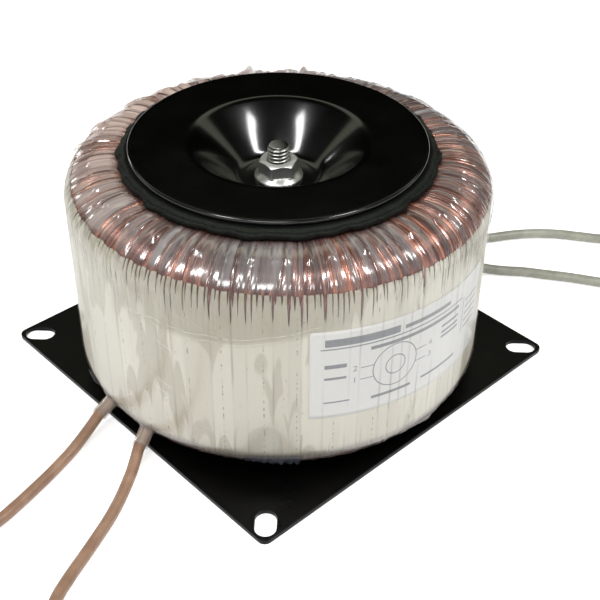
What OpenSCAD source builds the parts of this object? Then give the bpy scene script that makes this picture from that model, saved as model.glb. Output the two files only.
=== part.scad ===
// Toroidal power transformer, clamped to a square mounting plate by a dished washer on a centre stud.
// Z runs up the stud, the origin is the centre of the plate's underside, and the plate's diagonals
// lie along X and Y, so that the slots in its corners run along those axes. Millimetres.

/* [Core] */
// Outside diameter of the strip-wound steel core
core_od = 140; // [120:1:155]
// Inside diameter of the core
core_id = 80; // [70:1:95]
// Height of the core
core_h = 67; // [40:1:90]
// Radius of the core's edges
core_edge = 0.8; // [0.4:0.1:2]

/* [Windings and wraps] */
// Insulating wrap between the core and the primary
core_wrap_t = 0.8; // [0.4:0.1:1.5]
// Build of the primary winding on the outside of the core
primary_t = 2.4; // [1.5:0.1:4]
// Insulating barrier between primary and secondary
barrier_t = 0.8; // [0.4:0.1:1.5]
// Build of the secondary winding on the outside
secondary_t = 2.2; // [1.6:0.1:4]
// Ridges of parallel strands that show round the secondary
strand_ridges = 104; // [60:1:110]
// Depth of the groove between two ridges
groove_depth = 0.8; // [0.3:0.1:1.2]
// Thickness of the clear outer film, all turns together
film_t = 0.6; // [0.4:0.1:1]
// Times thicker that every layer lies in the bore than on the outside
bore_ratio = 1.8; // [1.4:0.1:2]
// Times thicker that every layer lies on the two ends
end_ratio = 1.2; // [1:0.1:1.4]
// Gap left between neighbouring layers
layer_gap = 0.05; // [0.02:0.01:0.1]
// Radius of the wrapped bottom edge
base_round = 10; // [6:0.5:14]
// Height of the wrapped top shoulder
shoulder_h = 12; // [8:0.5:16]

/* [Film folds] */
// Folds of the film round the top shoulder
pleats = 64; // [40:1:72]
// Height of the tallest fold
pleat_h = 1.3; // [0.4:0.1:2]
// Height of the film's strip edges down the outer wall
strip_h = 0.25; // [0.1:0.05:0.5]

/* [Outer band and label] */
// Thickness of the cream insulating band
band_t = 0.45; // [0.3:0.05:0.8]
// Height of the band's lower edge over the underside of the wrap
band_low = 3.5; // [3:0.5:20]
// Distance of the band's upper edge below the top of the wrap
band_drop = 7.5; // [5:0.5:14]
// Puckers cut into the band's upper edge
puckers = 96; // [24:1:120]
// Longest pucker
pucker_len = 9; // [4:0.5:14]
// Width of a pucker at the edge
pucker_w = 1.2; // [0.6:0.1:2]
// Thickness of the blank paper label
label_t = 0.15; // [0.1:0.05:0.3]
// Width of the label round the band
label_w = 80; // [40:1:110]
// Height of the label
label_h = 37; // [20:1:45]
// Height of the label's lower edge over the underside of the wrap
label_low = 25; // [15:0.5:28]
// Angle from the front to the label's left edge
label_start = 10; // [0:1:90]

/* [Clamp] */
// Diameter of the dished washer
washer_od = 107; // [90:1:115]
// Sheet thickness of the dished washer
washer_t = 2; // [1.5:0.1:3]
// Depth of the dish
dish_depth = 15.2; // [10:0.1:24]
// Diameter of the dish's floor, at the foot of its wall
dish_floor_d = 30; // [26:0.5:34]
// Bend radius at the mouth of the dish
dish_mouth_round = 4; // [3:0.5:6]
// Bend radius at the foot of the dish's wall
dish_foot_round = 6; // [4:0.5:7]
// How far the dish's mouth stands outside the bore
dish_mouth_out = 5; // [4:0.1:7]
// Thickness of each rubber pad
pad_t = 3; // [2:0.1:5]
// How far the pads stand out past the washer
pad_margin = 4.5; // [2:0.1:6]
// How far the pads' hole stands outside the dish's mouth
pad_hole_out = 4; // [3:0.1:8]
// Depth of the waves in the upper pad's edge
pad_wave = 0.7; // [0.2:0.1:1.2]

/* [Stud and nut] */
// Nominal diameter of the stud's thread
stud_d = 8; // [6:1:10]
// Length of stud that stands out of the nut
stud_out = 5.8; // [4:0.1:12]
// Diameter of the stud's flush head
stud_head_d = 13; // [12:0.1:18]
// Width across the nut's flats
nut_af = 13; // [12:0.1:17]
// Height of the nut with its flange
nut_h = 7.2; // [6:0.1:10]
// Angle at which the nut came to rest
nut_turn = 5; // [0:1:59]
// Diameter of the nut's flange
flange_d = 17.6; // [17:0.1:19]
// Thickness of the flange at its rim
flange_rim = 1.3; // [0.8:0.1:2]
// Gap round the stud where it passes the nut, the washer and the plate
stud_gap = 0.1; // [0.05:0.05:0.3]

/* [Mounting plate] */
// Side of the square plate
plate_side = 150; // [140:1:200]
// Sheet thickness of the plate
plate_t = 2; // [1.5:0.1:4]
// Radius of the plate's corners
plate_corner = 3; // [1:0.5:6]
// Distance from a corner's point to the centre of its slot
slot_inset = 9; // [8.5:0.5:14]
// Width of a slot
slot_w = 7.5; // [5:0.1:8]
// Length of a slot
slot_len = 11.6; // [9:0.1:14]

/* [Leads] */
// Outside diameter of the leads
lead_d = 4.2; // [3:0.1:4.4]
// Wall of the clear sleeves round the leads' roots
sleeve_t = 0.5; // [0.3:0.1:0.8]
// Gap between a lead and its sleeve
sleeve_gap = 0.1; // [0.05:0.05:0.2]
// Length of a sleeve outside the film
sleeve_len = 7; // [4:0.5:8]
// Height of the leads' exits over the underside of the wrap
exit_rise = 4; // [3.5:0.5:5]
// Diameter of the stripped conductors
conductor_d = 2.4; // [1.5:0.1:2.6]
// Length of the stripped conductors
strip_len = 8; // [4:0.5:12]

/* [Hidden] */
$fn = 96;
// Steps round the thin layers of the toroid
fine = 360;
// How far a cut reaches past what it cuts
over = 1;
// Turn from one feature to the next that never repeats, and so mixes their sizes evenly
golden = 137.5;

// Build of each layer on the outside of the core, counted outwards from the core's own surface
wrap_at = layer_gap;
primary_at = wrap_at + core_wrap_t + layer_gap;
barrier_at = primary_at + primary_t + layer_gap;
secondary_at = barrier_at + barrier_t + layer_gap;
film_at = secondary_at + secondary_t + layer_gap;
build = film_at + film_t;
// Room that the band and the label take up under the film, on the outer wall alone
band_room = band_t + label_t + 2 * layer_gap;

// The wrapped toroid and what is clamped round it
wrap_r = core_od / 2 + build + band_room;
bore_r = core_id / 2 - build * bore_ratio;
wrap_half_h = core_h / 2 + build * end_ratio;
wrap_low = plate_t + pad_t;
wrap_mid = wrap_low + wrap_half_h;
wrap_top = wrap_mid + wrap_half_h;
pad_r = washer_od / 2 + pad_margin;
// Ring of film left round the pad before the shoulder falls away, and the part of it that lies flat
pad_land = 2.5;
land_flat = 0.6;
shoulder_w = wrap_r - pad_r - pad_land;
// Rounding of the bore's edges, across and down
bore_round_w = 8;
bore_round_h = 6;

washer_low = wrap_top + pad_t;
washer_top = washer_low + washer_t;
nut_seat = washer_top - dish_depth;
stud_top = nut_seat + nut_h + stud_out;
dish_mouth_r = bore_r + dish_mouth_out;
pad_hole_r = dish_mouth_r + pad_hole_out;
// Chamfer of the stud's top
stud_chamfer = stud_d / 8;
// Share of the nut's height taken by its flange, and the chamfer of its top corners
flange_share = 0.32;
chamfer_angle = 30;
chamfer_in = 0.2;
// Radius of the washer's rim edges
rim_round = 0.4 * washer_t;
// Share of the upper pad's height where its edge stands upright, and the shelf it has round the washer
pad_upright = 0.6;
pad_shelf = 1;
// Shortest pucker and lowest fold, as shares of the greatest, and the drift of a fold in steps
pucker_least = 0.3;
fold_least = 0.35;
fold_drift = 0.3;
plate_reach = plate_side / sqrt(2);
slot_reach = plate_reach - slot_inset;
sleeve_r = lead_d / 2 + sleeve_gap + sleeve_t;
exit_z = wrap_low + exit_rise;

// Share of the full size that the k-th of many like features has, from least up to 1
function mixed(k, least) = (1 + least) / 2 + (1 - least) / 2 * sin(k * golden);

// Points of an arc about a centre, each with the direction that it faces
function arc(centre, w, h, from, to, steps) =
    [for (i = [0:steps]) let (a = from + (to - from) * i / steps)
        [centre.x + w * cos(a), centre.y + h * sin(a), a]];

// Section of the toroid at a given build: radius, height and facing of each point, anticlockwise.
// extra thickens the outer wall alone.
function section(depth, extra = 0) =
    let (part = depth / build,
        outer = core_od / 2 + depth + extra,
        inner = core_id / 2 - depth * bore_ratio,
        low = wrap_mid - core_h / 2 - depth * end_ratio,
        high = wrap_mid + core_h / 2 + depth * end_ratio,
        top_w = core_edge + (shoulder_w - core_edge) * part,
        top_h = core_edge + (shoulder_h - core_edge) * part,
        base = core_edge + (base_round - core_edge) * part,
        bore_w = core_edge + (bore_round_w - core_edge) * part,
        bore_h = core_edge + (bore_round_h - core_edge) * part)
    concat(
        arc([outer - base, low + base], base, base, -90, 0, 2),
        arc([outer - top_w, high - top_h], top_w, top_h, 0, 90, 4),
        arc([inner + bore_w, high - bore_h], bore_w, bore_h, 90, 180, 2),
        arc([inner + bore_w, low + bore_h], bore_w, bore_h, 180, 270, 2));

// Corner of a polygon rounded off: the arc that replaces the point b between a and c
function rounded(a, b, c, r, steps = 6) =
    let (u = (a - b) / norm(a - b),
        v = (c - b) / norm(c - b),
        half = acos(u * v) / 2,
        middle = b + (u + v) / norm(u + v) * r / sin(half),
        start = b + u * r / tan(half) - middle,
        end = b + v * r / tan(half) - middle,
        turn = atan2(start.x * end.y - start.y * end.x, start * end))
    [for (i = [0:steps]) let (t = turn * i / steps)
        middle + [start.x * cos(t) - start.y * sin(t), start.x * sin(t) + start.y * cos(t)]];

// A polygon with a radius for each of its points, 0 for a sharp one
function rounded_outline(points, radii) =
    let (n = len(points))
    [for (i = [0:n - 1])
        each radii[i] > 0
            ? rounded(points[(i + n - 1) % n], points[i], points[(i + 1) % n], radii[i])
            : [points[i]]];

// Closed ring of sections round the Z axis, each a list of points
module ring_loft(sections) {
    n = len(sections);
    m = len(sections[0]);
    polyhedron(
        points = [for (s = sections) each s],
        faces = [for (j = [0:n - 1], i = [0:m - 1])
            let (a = j * m + i, b = j * m + (i + 1) % m,
                c = (j + 1) % n * m + (i + 1) % m, d = (j + 1) % n * m + i)
            each [[a, b, c], [a, c, d]]]);
}

// A section point set out at an angle, moved outwards by its own lift
function set_out(point, lift, angle) =
    let (r = point.x + lift * cos(point.z), z = point.y + lift * sin(point.z))
    [r * cos(angle), r * sin(angle), z];

// Section points without their facing
function flat_points(points) = [for (p = points) [p.x, p.y]];

// Solid ring of one section
module ring(points) {
    rotate_extrude($fn = fine) polygon(flat_points(points));
}

// Layer of the toroid between two builds
module layer(from, thick) {
    difference() {
        ring(section(from + thick));
        ring(section(from));
    }
}

// A swept tube with flat ends, through the points of a path that never runs straight up
lead_sides = 8;
function tangent(path, i) =
    let (d = path[min(i + 1, len(path) - 1)] - path[max(i - 1, 0)]) d / norm(d);
module tube(path, r) {
    n = len(path);
    rings = [for (i = [0:n - 1])
        let (t = tangent(path, i), across = cross(t, [0, 0, 1]), side = across / norm(across),
            up = cross(side, t))
        each [for (k = [0:lead_sides - 1]) let (a = 360 * (k + 0.5) / lead_sides)
            path[i] + r * (cos(a) * side + sin(a) * up)]];
    polyhedron(
        points = rings,
        faces = concat(
            [[for (k = [lead_sides - 1:-1:0]) k]],
            [for (i = [0:n - 2], k = [0:lead_sides - 1])
                let (a = i * lead_sides + k, b = i * lead_sides + (k + 1) % lead_sides)
                each [[a, b + lead_sides, a + lead_sides], [a, b, b + lead_sides]]],
            [[for (k = [0:lead_sides - 1]) (n - 1) * lead_sides + k]]));
}

// Where each lead leaves the wrap: its angle from the front, clockwise seen from above
exit_r = wrap_r - base_round + sqrt(pow(base_round, 2) - pow(base_round - exit_rise, 2));
exit_turns = [52, 36, 217, 234];
// Gap under a lead that lies on the bench, and the height of its middle
bench_gap = 0.1;
bench_z = lead_d / 2 + bench_gap;

// Routes of the four leads, out of the wrap, over the plate's edge and along the bench: how far each
// point lies from the exit along X and Y, and the share of the exit's height that it still has
lead_routes = [
    [[0, 0, 1], [-3.7, -5.2, 0.7], [-6, -10, 0.5], [-8.5, -15.2, 0.31], [-11, -20.5, 0.18], [-14, -26, 0.07],
        [-17, -31.5, 0.01], [-20, -37, 0], [-24.5, -45, 0], [-29.5, -53, 0], [-36, -60.5, 0], [-44, -66, 0],
        [-53.5, -68.5, 0], [-63, -67.5, 0], [-71, -62, 0], [-76, -53.5, 0], [-78, -43, 0], [-78, -31, 0],
        [-77, -19, 0], [-76, -7, 0]],
    [[0, 0, 1], [-2, -7, 0.66], [-2.6, -11.8, 0.49], [-3.3, -16.7, 0.33], [-4.3, -21.6, 0.2],
        [-5.4, -26.6, 0.1], [-6.7, -31.7, 0.03], [-8.2, -37, 0], [-10, -42.5, 0], [-13.3, -52, 0],
        [-16.7, -61.5, 0], [-19.2, -71, 0], [-18.8, -81, 0], [-14.5, -90, 0], [-6.5, -96.5, 0],
        [3.5, -99.5, 0], [14, -100.5, 0], [25, -100, 0], [36, -98.5, 0], [47, -97, 0], [57, -96, 0]],
    [[0, 0, 1], [7, 5, 1], [12.5, 8, 0.85], [18, 10.5, 0.45], [25, 12, 0.15], [33, 13.5, 0],
        [41, 15, 0], [49, 17, 0], [58, 19.5, 0], [68, 21, 0], [78, 21, 0], [88, 19.5, 0], [98, 18, 0],
        [108, 19, 0], [116, 25, 0], [120, 34, 0], [121, 45, 0], [121, 56, 0], [120, 68, 0]],
    [[0, 0, 1], [8, 3.5, 1], [13.5, 5.2, 0.85], [19, 6.5, 0.45], [26, 7, 0.15], [34, 7, 0], [43, 6.5, 0],
        [52, 5, 0], [61, 3.5, 0], [70, 1.5, 0], [79, -1, 0], [88, -6, 0], [95, -14, 0], [99, -24, 0],
        [100, -35, 0], [100, -46, 0], [100, -57, 0], [100, -68, 0], [100, -79, 0]]];
function route(k) =
    let (a = -90 - exit_turns[k], x = exit_r * cos(a), y = exit_r * sin(a))
    [for (p = lead_routes[k]) [x + p.x, y + p.y, bench_z + (exit_z - bench_z) * p.z]];

// Places its children at the start of a path, along its first stretch
module along(from, to) {
    d = to - from;
    translate(from)
        rotate([0, acos(d.z / norm(d)), atan2(d.y, d.x)])
            children();
}

// Holes for the four sleeves, through whatever lies round the wrap
module lead_holes() {
    depth = 2 * sleeve_r;
    for (k = [0:len(lead_routes) - 1])
        along(route(k)[0], route(k)[1])
            translate([0, 0, -depth]) cylinder(r = sleeve_r + sleeve_gap, h = depth + sleeve_len);
}

module mounting_plate() {
    corner_reach = plate_reach - plate_corner * sqrt(2);
    flat_reach = plate_reach - plate_corner / sqrt(2);
    color([0.03, 0.03, 0.03])
        linear_extrude(plate_t)
            difference() {
                union() {
                    polygon([for (a = [0:90:270], s = [-1, 1])
                        flat_reach * [cos(a), sin(a)] + s * plate_corner / sqrt(2) * [-sin(a), cos(a)]]);
                    for (a = [0:90:270])
                        rotate(a) translate([corner_reach, 0]) circle(plate_corner);
                }
                for (a = [0:90:270])
                    rotate(a) translate([slot_reach, 0]) slot();
                circle(stud_head_d / 2 + stud_gap);
            }
}

// Outline of one slot, along X
module slot() {
    straight = slot_len - slot_w;
    square([straight, slot_w], center = true);
    for (s = [-1, 1])
        translate([s * straight / 2, 0]) circle(slot_w / 2);
}

// Stud with a flush head and a chamfered top
module centre_stud() {
    color([0.72, 0.72, 0.7])
        rotate_extrude()
            polygon([[0, 0], [stud_head_d / 2, 0], [stud_head_d / 2, plate_t], [stud_d / 2, plate_t],
                [stud_d / 2, stud_top - stud_chamfer], [stud_d / 2 - stud_chamfer, stud_top],
                [0, stud_top]]);
}

module lower_pad() {
    color([0.1, 0.1, 0.1])
        translate([0, 0, plate_t])
            linear_extrude(pad_t)
                difference() {
                    circle(pad_r);
                    circle(pad_hole_r);
                }
}

module core() {
    color([0.45, 0.46, 0.48]) ring(section(0));
}

module core_wrap() {
    color([0.85, 0.8, 0.6]) layer(wrap_at, core_wrap_t);
}

module primary_winding() {
    color([0.72, 0.4, 0.22]) layer(primary_at, primary_t);
}

module barrier_wrap() {
    color([0.9, 0.86, 0.7]) layer(barrier_at, barrier_t);
}

// Strands laid side by side, that stand as ridges on the outside and close up in the bore
module secondary_winding() {
    outline = section(secondary_at + secondary_t);
    steps = 2 * strand_ridges;
    color([0.62, 0.36, 0.27])
        difference() {
            ring_loft([for (j = [0:steps - 1])
                [for (p = outline)
                    set_out(p, -(j % 2) * groove_depth * p.x / (core_od / 2), 360 * j / steps)]]);
            ring(section(secondary_at));
        }
}

module outer_band() {
    low = wrap_low + band_low;
    high = wrap_top - band_drop;
    color([0.85, 0.82, 0.7])
        difference() {
            rotate_extrude($fn = fine)
                intersection() {
                    difference() {
                        polygon(flat_points(section(film_at, band_t)));
                        polygon(flat_points(section(film_at)));
                    }
                    translate([core_id / 2, low]) square([core_od, high - low]);
                }
            for (k = [0:puckers - 1])
                rotate(360 * k / puckers)
                    translate([core_id / 2, 0, high])
                        rotate([90, 0, 90])
                            linear_extrude(core_od)
                                pucker(pucker_len * mixed(k, pucker_least));
            lead_holes();
        }
}

// Narrow notch with its mouth on the edge of the band
module pucker(depth) {
    widen = pucker_w / 2 * (1 + over / depth);
    polygon([[0, -depth], [widen, over], [-widen, over]]);
}

module label() {
    inner = core_od / 2 + film_at + band_t + layer_gap;
    color([0.92, 0.92, 0.9])
        translate([0, 0, wrap_low + label_low])
            rotate(label_start - 90)
                rotate_extrude(angle = label_w / inner * 180 / PI)
                    translate([inner, 0]) square([label_t, label_h]);
}

// Share of the full fold height at a section point: none on the base, in the bore and under the pads,
// the strips' own height on the wall and the most halfway up the shoulder
function fold_share(p) =
    let (least = strip_h / pleat_h)
    p.y < wrap_low + base_round || p.x < pad_r ? 0 : least + (1 - least) * max(0, sin(2 * p.z));

// Height of the film at one step round the toroid: folds of mixed height on every other step
function fold(j) = j % 2 == 0 ? pleat_h * mixed(j / 2, fold_least) : 0;

module outer_film() {
    edge = [pad_r + land_flat, wrap_top, 90];
    outline = [for (p = section(build, band_room)) each p.z == 90 && p.x > pad_r ? [p, edge] : [p]];
    steps = 2 * pleats;
    color([0.8, 0.78, 0.74, 0.4])
        difference() {
            ring_loft([for (j = [0:steps - 1])
                [for (p = outline)
                    set_out(p, p == edge ? 0 : fold(j) * fold_share(p),
                        360 / steps * (j + fold_drift * sin(j * golden)))]]);
            ring(section(film_at, band_room));
            lead_holes();
        }
}

// Ring whose pressed edge waves a little, in and out and down
module upper_pad() {
    steps = 72;
    low = wrap_top;
    color([0.12, 0.12, 0.11])
        ring_loft([for (j = [0:steps - 1])
            let (a = 360 * j / steps, wave = pad_wave * sin(9 * a) * cos(4 * a))
            [for (p = [[pad_r + wave - pad_wave, low], [pad_r + wave - pad_wave, low + pad_t * pad_upright],
                    [washer_od / 2 + pad_shelf, low + pad_t], [pad_hole_r, low + pad_t], [pad_hole_r, low]])
                [p.x * cos(a), p.x * sin(a), p.y]]]);
}

// Pressed sheet: a flat rim, a coned wall down into the bore and a flat floor under the nut
module dished_washer() {
    foot_r = dish_floor_d / 2;
    slope = atan2(dish_depth, dish_mouth_r - foot_r);
    inset = washer_t * tan(slope / 2);
    rim = washer_od / 2;
    hole = stud_d / 2 + stud_gap;
    color([0.02, 0.02, 0.02])
        rotate_extrude()
            polygon(rounded_outline(
                [[hole, nut_seat - washer_t], [foot_r + inset, nut_seat - washer_t],
                    [dish_mouth_r + inset, washer_low], [rim, washer_low], [rim, washer_top],
                    [dish_mouth_r, washer_top], [foot_r, nut_seat], [hole, nut_seat]],
                [0, dish_foot_round + washer_t, dish_mouth_round - washer_t, rim_round, rim_round,
                    dish_mouth_round, dish_foot_round, 0]));
}

module flange_nut() {
    cone_h = nut_h * flange_share;
    top_r = nut_af / 2 - chamfer_in;
    hole = stud_d / 2 + stud_gap;
    corner_r = nut_af / sqrt(3);
    color([0.78, 0.78, 0.76])
        translate([0, 0, nut_seat])
            difference() {
                union() {
                    rotate_extrude()
                        polygon([[0, 0], [flange_d / 2, 0], [flange_d / 2, flange_rim],
                            [nut_af / 2, cone_h], [0, cone_h]]);
                    intersection() {
                        rotate(nut_turn) cylinder(r = corner_r, h = nut_h, $fn = 6);
                        cylinder(r1 = top_r + nut_h / tan(chamfer_angle), r2 = top_r, h = nut_h);
                    }
                }
                translate([0, 0, -over]) cylinder(r = hole, h = nut_h + 2 * over);
            }
}

module sleeve(k) {
    along(route(k)[0], route(k)[1])
        difference() {
            cylinder(r = sleeve_r, h = sleeve_len);
            translate([0, 0, -over]) cylinder(r = sleeve_r - sleeve_t, h = sleeve_len + 2 * over);
        }
}

module lead(k) {
    tube(route(k), lead_d / 2);
}

// Stripped conductor that goes on from the lead's free end
module bare_end(k) {
    path = route(k);
    last = len(path) - 1;
    along(path[last], 2 * path[last] - path[last - 1])
        cylinder(r = conductor_d / 2, h = strip_len);
}

module sleeve_colour() {
    color([0.85, 0.8, 0.74, 0.5]) children();
}

module primary_colour() {
    color([0.55, 0.37, 0.25]) children();
}

module secondary_colour() {
    color([0.62, 0.62, 0.56]) children();
}

module tinned_colour() {
    color([0.75, 0.74, 0.72]) children();
}

module primary_sleeve_1() { sleeve_colour() sleeve(0); }
module primary_sleeve_2() { sleeve_colour() sleeve(1); }
module secondary_sleeve_1() { sleeve_colour() sleeve(2); }
module secondary_sleeve_2() { sleeve_colour() sleeve(3); }
module primary_lead_1() { primary_colour() lead(0); }
module primary_lead_2() { primary_colour() lead(1); }
module secondary_lead_1() { secondary_colour() lead(2); }
module secondary_lead_2() { secondary_colour() lead(3); }
module primary_end_1() { tinned_colour() bare_end(0); }
module primary_end_2() { tinned_colour() bare_end(1); }
module secondary_end_1() { tinned_colour() bare_end(2); }
module secondary_end_2() { tinned_colour() bare_end(3); }

mounting_plate();
centre_stud();
lower_pad();
core();
core_wrap();
primary_winding();
barrier_wrap();
secondary_winding();
outer_band();
label();
outer_film();
upper_pad();
dished_washer();
flange_nut();
primary_sleeve_1();
primary_sleeve_2();
secondary_sleeve_1();
secondary_sleeve_2();
primary_lead_1();
primary_lead_2();
secondary_lead_1();
secondary_lead_2();
primary_end_1();
primary_end_2();
secondary_end_1();
secondary_end_2();
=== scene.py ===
"""Looks of the toroidal transformer, built round its CAD frame.

Strands, film, band, label, clamp, plate and leads, each with a procedural material,
then the camera of the photograph, the floor and the light."""

from math import atan2, ceil, cos, pi, radians, sin, sqrt, tan

import bmesh
import bpy
import numpy as np
from mathutils import Matrix, Vector


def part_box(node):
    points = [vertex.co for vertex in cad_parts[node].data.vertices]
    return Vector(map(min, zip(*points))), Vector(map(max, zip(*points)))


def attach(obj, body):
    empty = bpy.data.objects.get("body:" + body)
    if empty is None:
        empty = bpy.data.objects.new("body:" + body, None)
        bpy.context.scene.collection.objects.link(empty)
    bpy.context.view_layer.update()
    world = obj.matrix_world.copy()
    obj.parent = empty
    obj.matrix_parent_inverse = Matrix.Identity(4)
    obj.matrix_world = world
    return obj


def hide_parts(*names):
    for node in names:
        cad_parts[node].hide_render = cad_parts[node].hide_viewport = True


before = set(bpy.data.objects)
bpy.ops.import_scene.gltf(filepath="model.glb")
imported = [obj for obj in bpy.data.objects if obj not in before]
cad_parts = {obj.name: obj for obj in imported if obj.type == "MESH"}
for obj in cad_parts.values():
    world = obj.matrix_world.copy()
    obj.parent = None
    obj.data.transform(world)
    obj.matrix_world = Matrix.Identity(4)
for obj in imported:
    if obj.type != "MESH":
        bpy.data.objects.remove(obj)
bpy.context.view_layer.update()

MM = 0.001
TURN = 2 * pi

# Camera of the photograph: angles in degrees, lengths in metres, focal length in pixels, sensor in mm
IMAGE_WIDTH = 600
CAMERA_TURN = 1.5
CAMERA_HEIGHT = 37.3
CAMERA_ROLL = 0.6
CAMERA_DISTANCE = 0.4773
CAMERA_TARGET = Vector((0.00742, 0.02927, 0))
CAMERA_NEAREST = 0.01
FOCAL_PIXELS = 1121
SENSOR = 36


def heading(turn, height):
    """Direction from the object towards a place round it: turn 0 is the photograph's side, 90 the right."""
    a, e = radians(turn), radians(height)
    return Vector((sin(a) * cos(e), -cos(a) * cos(e), sin(e)))


def link(thing):
    """Puts an object in the scene."""
    bpy.context.scene.collection.objects.link(thing)


def add_camera():
    """The camera that took the photograph."""
    back = heading(CAMERA_TURN, CAMERA_HEIGHT)
    right = Vector((cos(radians(CAMERA_TURN)), sin(radians(CAMERA_TURN)), 0))
    up = back.cross(right)
    axes = Matrix((right, up, back)).transposed() @ Matrix.Rotation(radians(CAMERA_ROLL), 3, "Z")
    lens = bpy.data.cameras.new("photo_camera")
    lens.sensor_width = SENSOR
    lens.lens = FOCAL_PIXELS / IMAGE_WIDTH * SENSOR
    lens.clip_start = CAMERA_NEAREST
    camera = bpy.data.objects.new("photo_camera", lens)
    camera.matrix_world = Matrix.Translation(CAMERA_TARGET + back * CAMERA_DISTANCE) @ axes.to_4x4()
    link(camera)
    bpy.context.scene.camera = camera


def radii(node):
    """Smallest and largest distance of a CAD node's points from the stud's axis, in metres."""
    points = np.array([v.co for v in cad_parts[node].data.vertices])
    reach = np.hypot(points[:, 0], points[:, 1])
    return reach.min(), reach.max()


def heights(node):
    """Lowest and highest Z of a CAD node, in metres."""
    low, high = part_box(node)
    return low.z, high.z


# Sizes read from the frame, in metres
WRAP_LOW = heights("lower_pad")[1]
WRAP_TOP = heights("upper_pad")[0]
BORE_R = radii("outer_film")[0]
LABEL_R = radii("label")[1]
PAD_R = radii("lower_pad")[1]
BAND_TOP = heights("outer_band")[1]
WASHER_HOLE, WASHER_R = radii("dished_washer")
WASHER_TOP = heights("dished_washer")[1]
NUT_SEAT, NUT_TOP = heights("flange_nut")
STUD_HEAD_R = radii("centre_stud")[1]

# Sizes of the part's source that can't be read from the frame directly
FILM_T = 0.6 * MM
LAYER_GAP = 0.05 * MM
WRAP_R = LABEL_R + FILM_T + LAYER_GAP
BASE_ROUND = 10 * MM
PAD_LAND = 2.5 * MM
SHOULDER = (WRAP_R - PAD_R - PAD_LAND, 12 * MM)
BORE_ROUND = (8 * MM, 6 * MM)
# Sheet of the washer and the plate
SHEET_T = 2 * MM

# How far the band's upper edge falls to the right
BAND_TILT = 1.8 * MM


# Mesh helpers

def around(steps):
    """Even angles once round the stud."""
    return np.linspace(0, TURN, steps, endpoint=False)


def angle_from(angles, start):
    """Angles counted from a start, minus half a turn to half a turn."""
    return (angles - start + pi) % TURN - pi


def unit(value):
    """A value held between 0 and 1."""
    return np.clip(value, 0, 1)


def bell(value, width):
    """1 where a value is 0, falling away over a width on both sides."""
    return np.exp(-(value / width) ** 2)


def ripple(angle, turns, seed, height=0.0, cycles=None):
    """Smooth noise round the toroid, about -1 to 1: waves per circle, and cycles per metre of height."""
    draw = np.random.default_rng(seed)
    total = 0
    for wave, cycle in zip(turns, cycles or [0] * len(turns)):
        total = total + np.cos(wave * angle + TURN * cycle * height + draw.uniform(0, TURN))
    return total / sqrt(len(turns))


def spot(r, a, z):
    """One point from its distance to the Z axis, its angle and its height."""
    return (r * cos(a), r * sin(a), z)


def polar(r, angle, z):
    """The same for whole arrays."""
    r, angle, z = np.broadcast_arrays(r, angle, z)
    return np.stack([r * np.cos(angle), r * np.sin(angle), z], -1)


def lattice(rows, cols, wrap_rows, wrap_cols, start=0):
    """Quads of a grid of points stored row by row."""
    i = np.arange(rows if wrap_rows else rows - 1)
    j = np.arange(cols if wrap_cols else cols - 1)
    a, b = np.meshgrid(i, j, indexing="ij")
    c, d = (a + 1) % rows, (b + 1) % cols
    quads = np.stack([a * cols + b, c * cols + b, c * cols + d, a * cols + d], -1).reshape(-1, 4)
    return (quads + start).tolist()


def closed_sheet(cols, rows, start=0):
    """Faces of a thin sheet: a grid, the same grid behind it and the rim between them."""
    n = cols * rows
    faces = lattice(cols, rows, False, False, start)
    faces += [f[::-1] for f in lattice(cols, rows, False, False, start + n)]
    rim = [i * rows for i in range(cols)] + [(cols - 1) * rows + j for j in range(1, rows)]
    rim += [i * rows + rows - 1 for i in range(cols - 2, -1, -1)] + list(range(rows - 2, 0, -1))
    for a, b in zip(rim, rim[1:] + rim[:1]):
        faces.append([start + b, start + a, start + a + n, start + b + n])
    return faces


def dress(piece, material, stands_for=(), smooth=True):
    """Links a piece, seats it on the only body and gives it its material."""
    link(piece)
    piece.data.materials.append(material)
    if smooth and piece.type == "MESH":
        piece.data.polygons.foreach_set("use_smooth", [True] * len(piece.data.polygons))
    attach(piece, "root")
    if stands_for:
        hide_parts(*stands_for)
    return piece


def add_piece(name, verts, faces, material, stands_for=(), smooth=True):
    """A mesh piece from its points and faces."""
    mesh = bpy.data.meshes.new(name)
    mesh.from_pydata([tuple(v) for v in verts], [], [tuple(f) for f in faces])
    mesh.validate()
    return dress(bpy.data.objects.new(name, mesh), material, stands_for, smooth)


def add_ring(name, points, material, stands_for):
    """A piece that closes round the stud; points go by angle, then once round a closed outline."""
    steps, rows, _ = points.shape
    faces = lattice(steps, rows, True, True)
    return add_piece(name, points.reshape(-1, 3), faces, material, stands_for)


def float_layer(piece, name, values):
    """A number for each point of a piece, which its material reads by name."""
    layer = piece.data.attributes.new(name, "FLOAT", "POINT")
    layer.data.foreach_set("value", np.asarray(values, np.float32).ravel())


def sharpen(piece, degrees):
    """Keeps edges sharper than an angle unsmoothed."""
    mesh = bmesh.new()
    mesh.from_mesh(piece.data)
    for e in mesh.edges:
        e.smooth = len(e.link_faces) == 2 and e.calc_face_angle(0) < radians(degrees)
    mesh.to_mesh(piece.data)
    mesh.free()


def along_axis(origin, direction):
    """Matrix that takes local Z to a direction at a point."""
    return Matrix.Translation(origin) @ direction.to_track_quat("Z", "Y").to_matrix().to_4x4()


# Outlines

def arc(centre, size, start, end, steps):
    """Points of an elliptic arc with the way that each one faces: r, z, facing r, facing z."""
    w, h = size
    a = np.radians(np.linspace(start, end, steps + 1))
    facing = np.stack([np.cos(a) / w, np.sin(a) / h], -1)
    facing /= np.linalg.norm(facing, axis=1, keepdims=True)
    return np.column_stack([centre[0] + w * np.cos(a), centre[1] + h * np.sin(a), facing])


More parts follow.
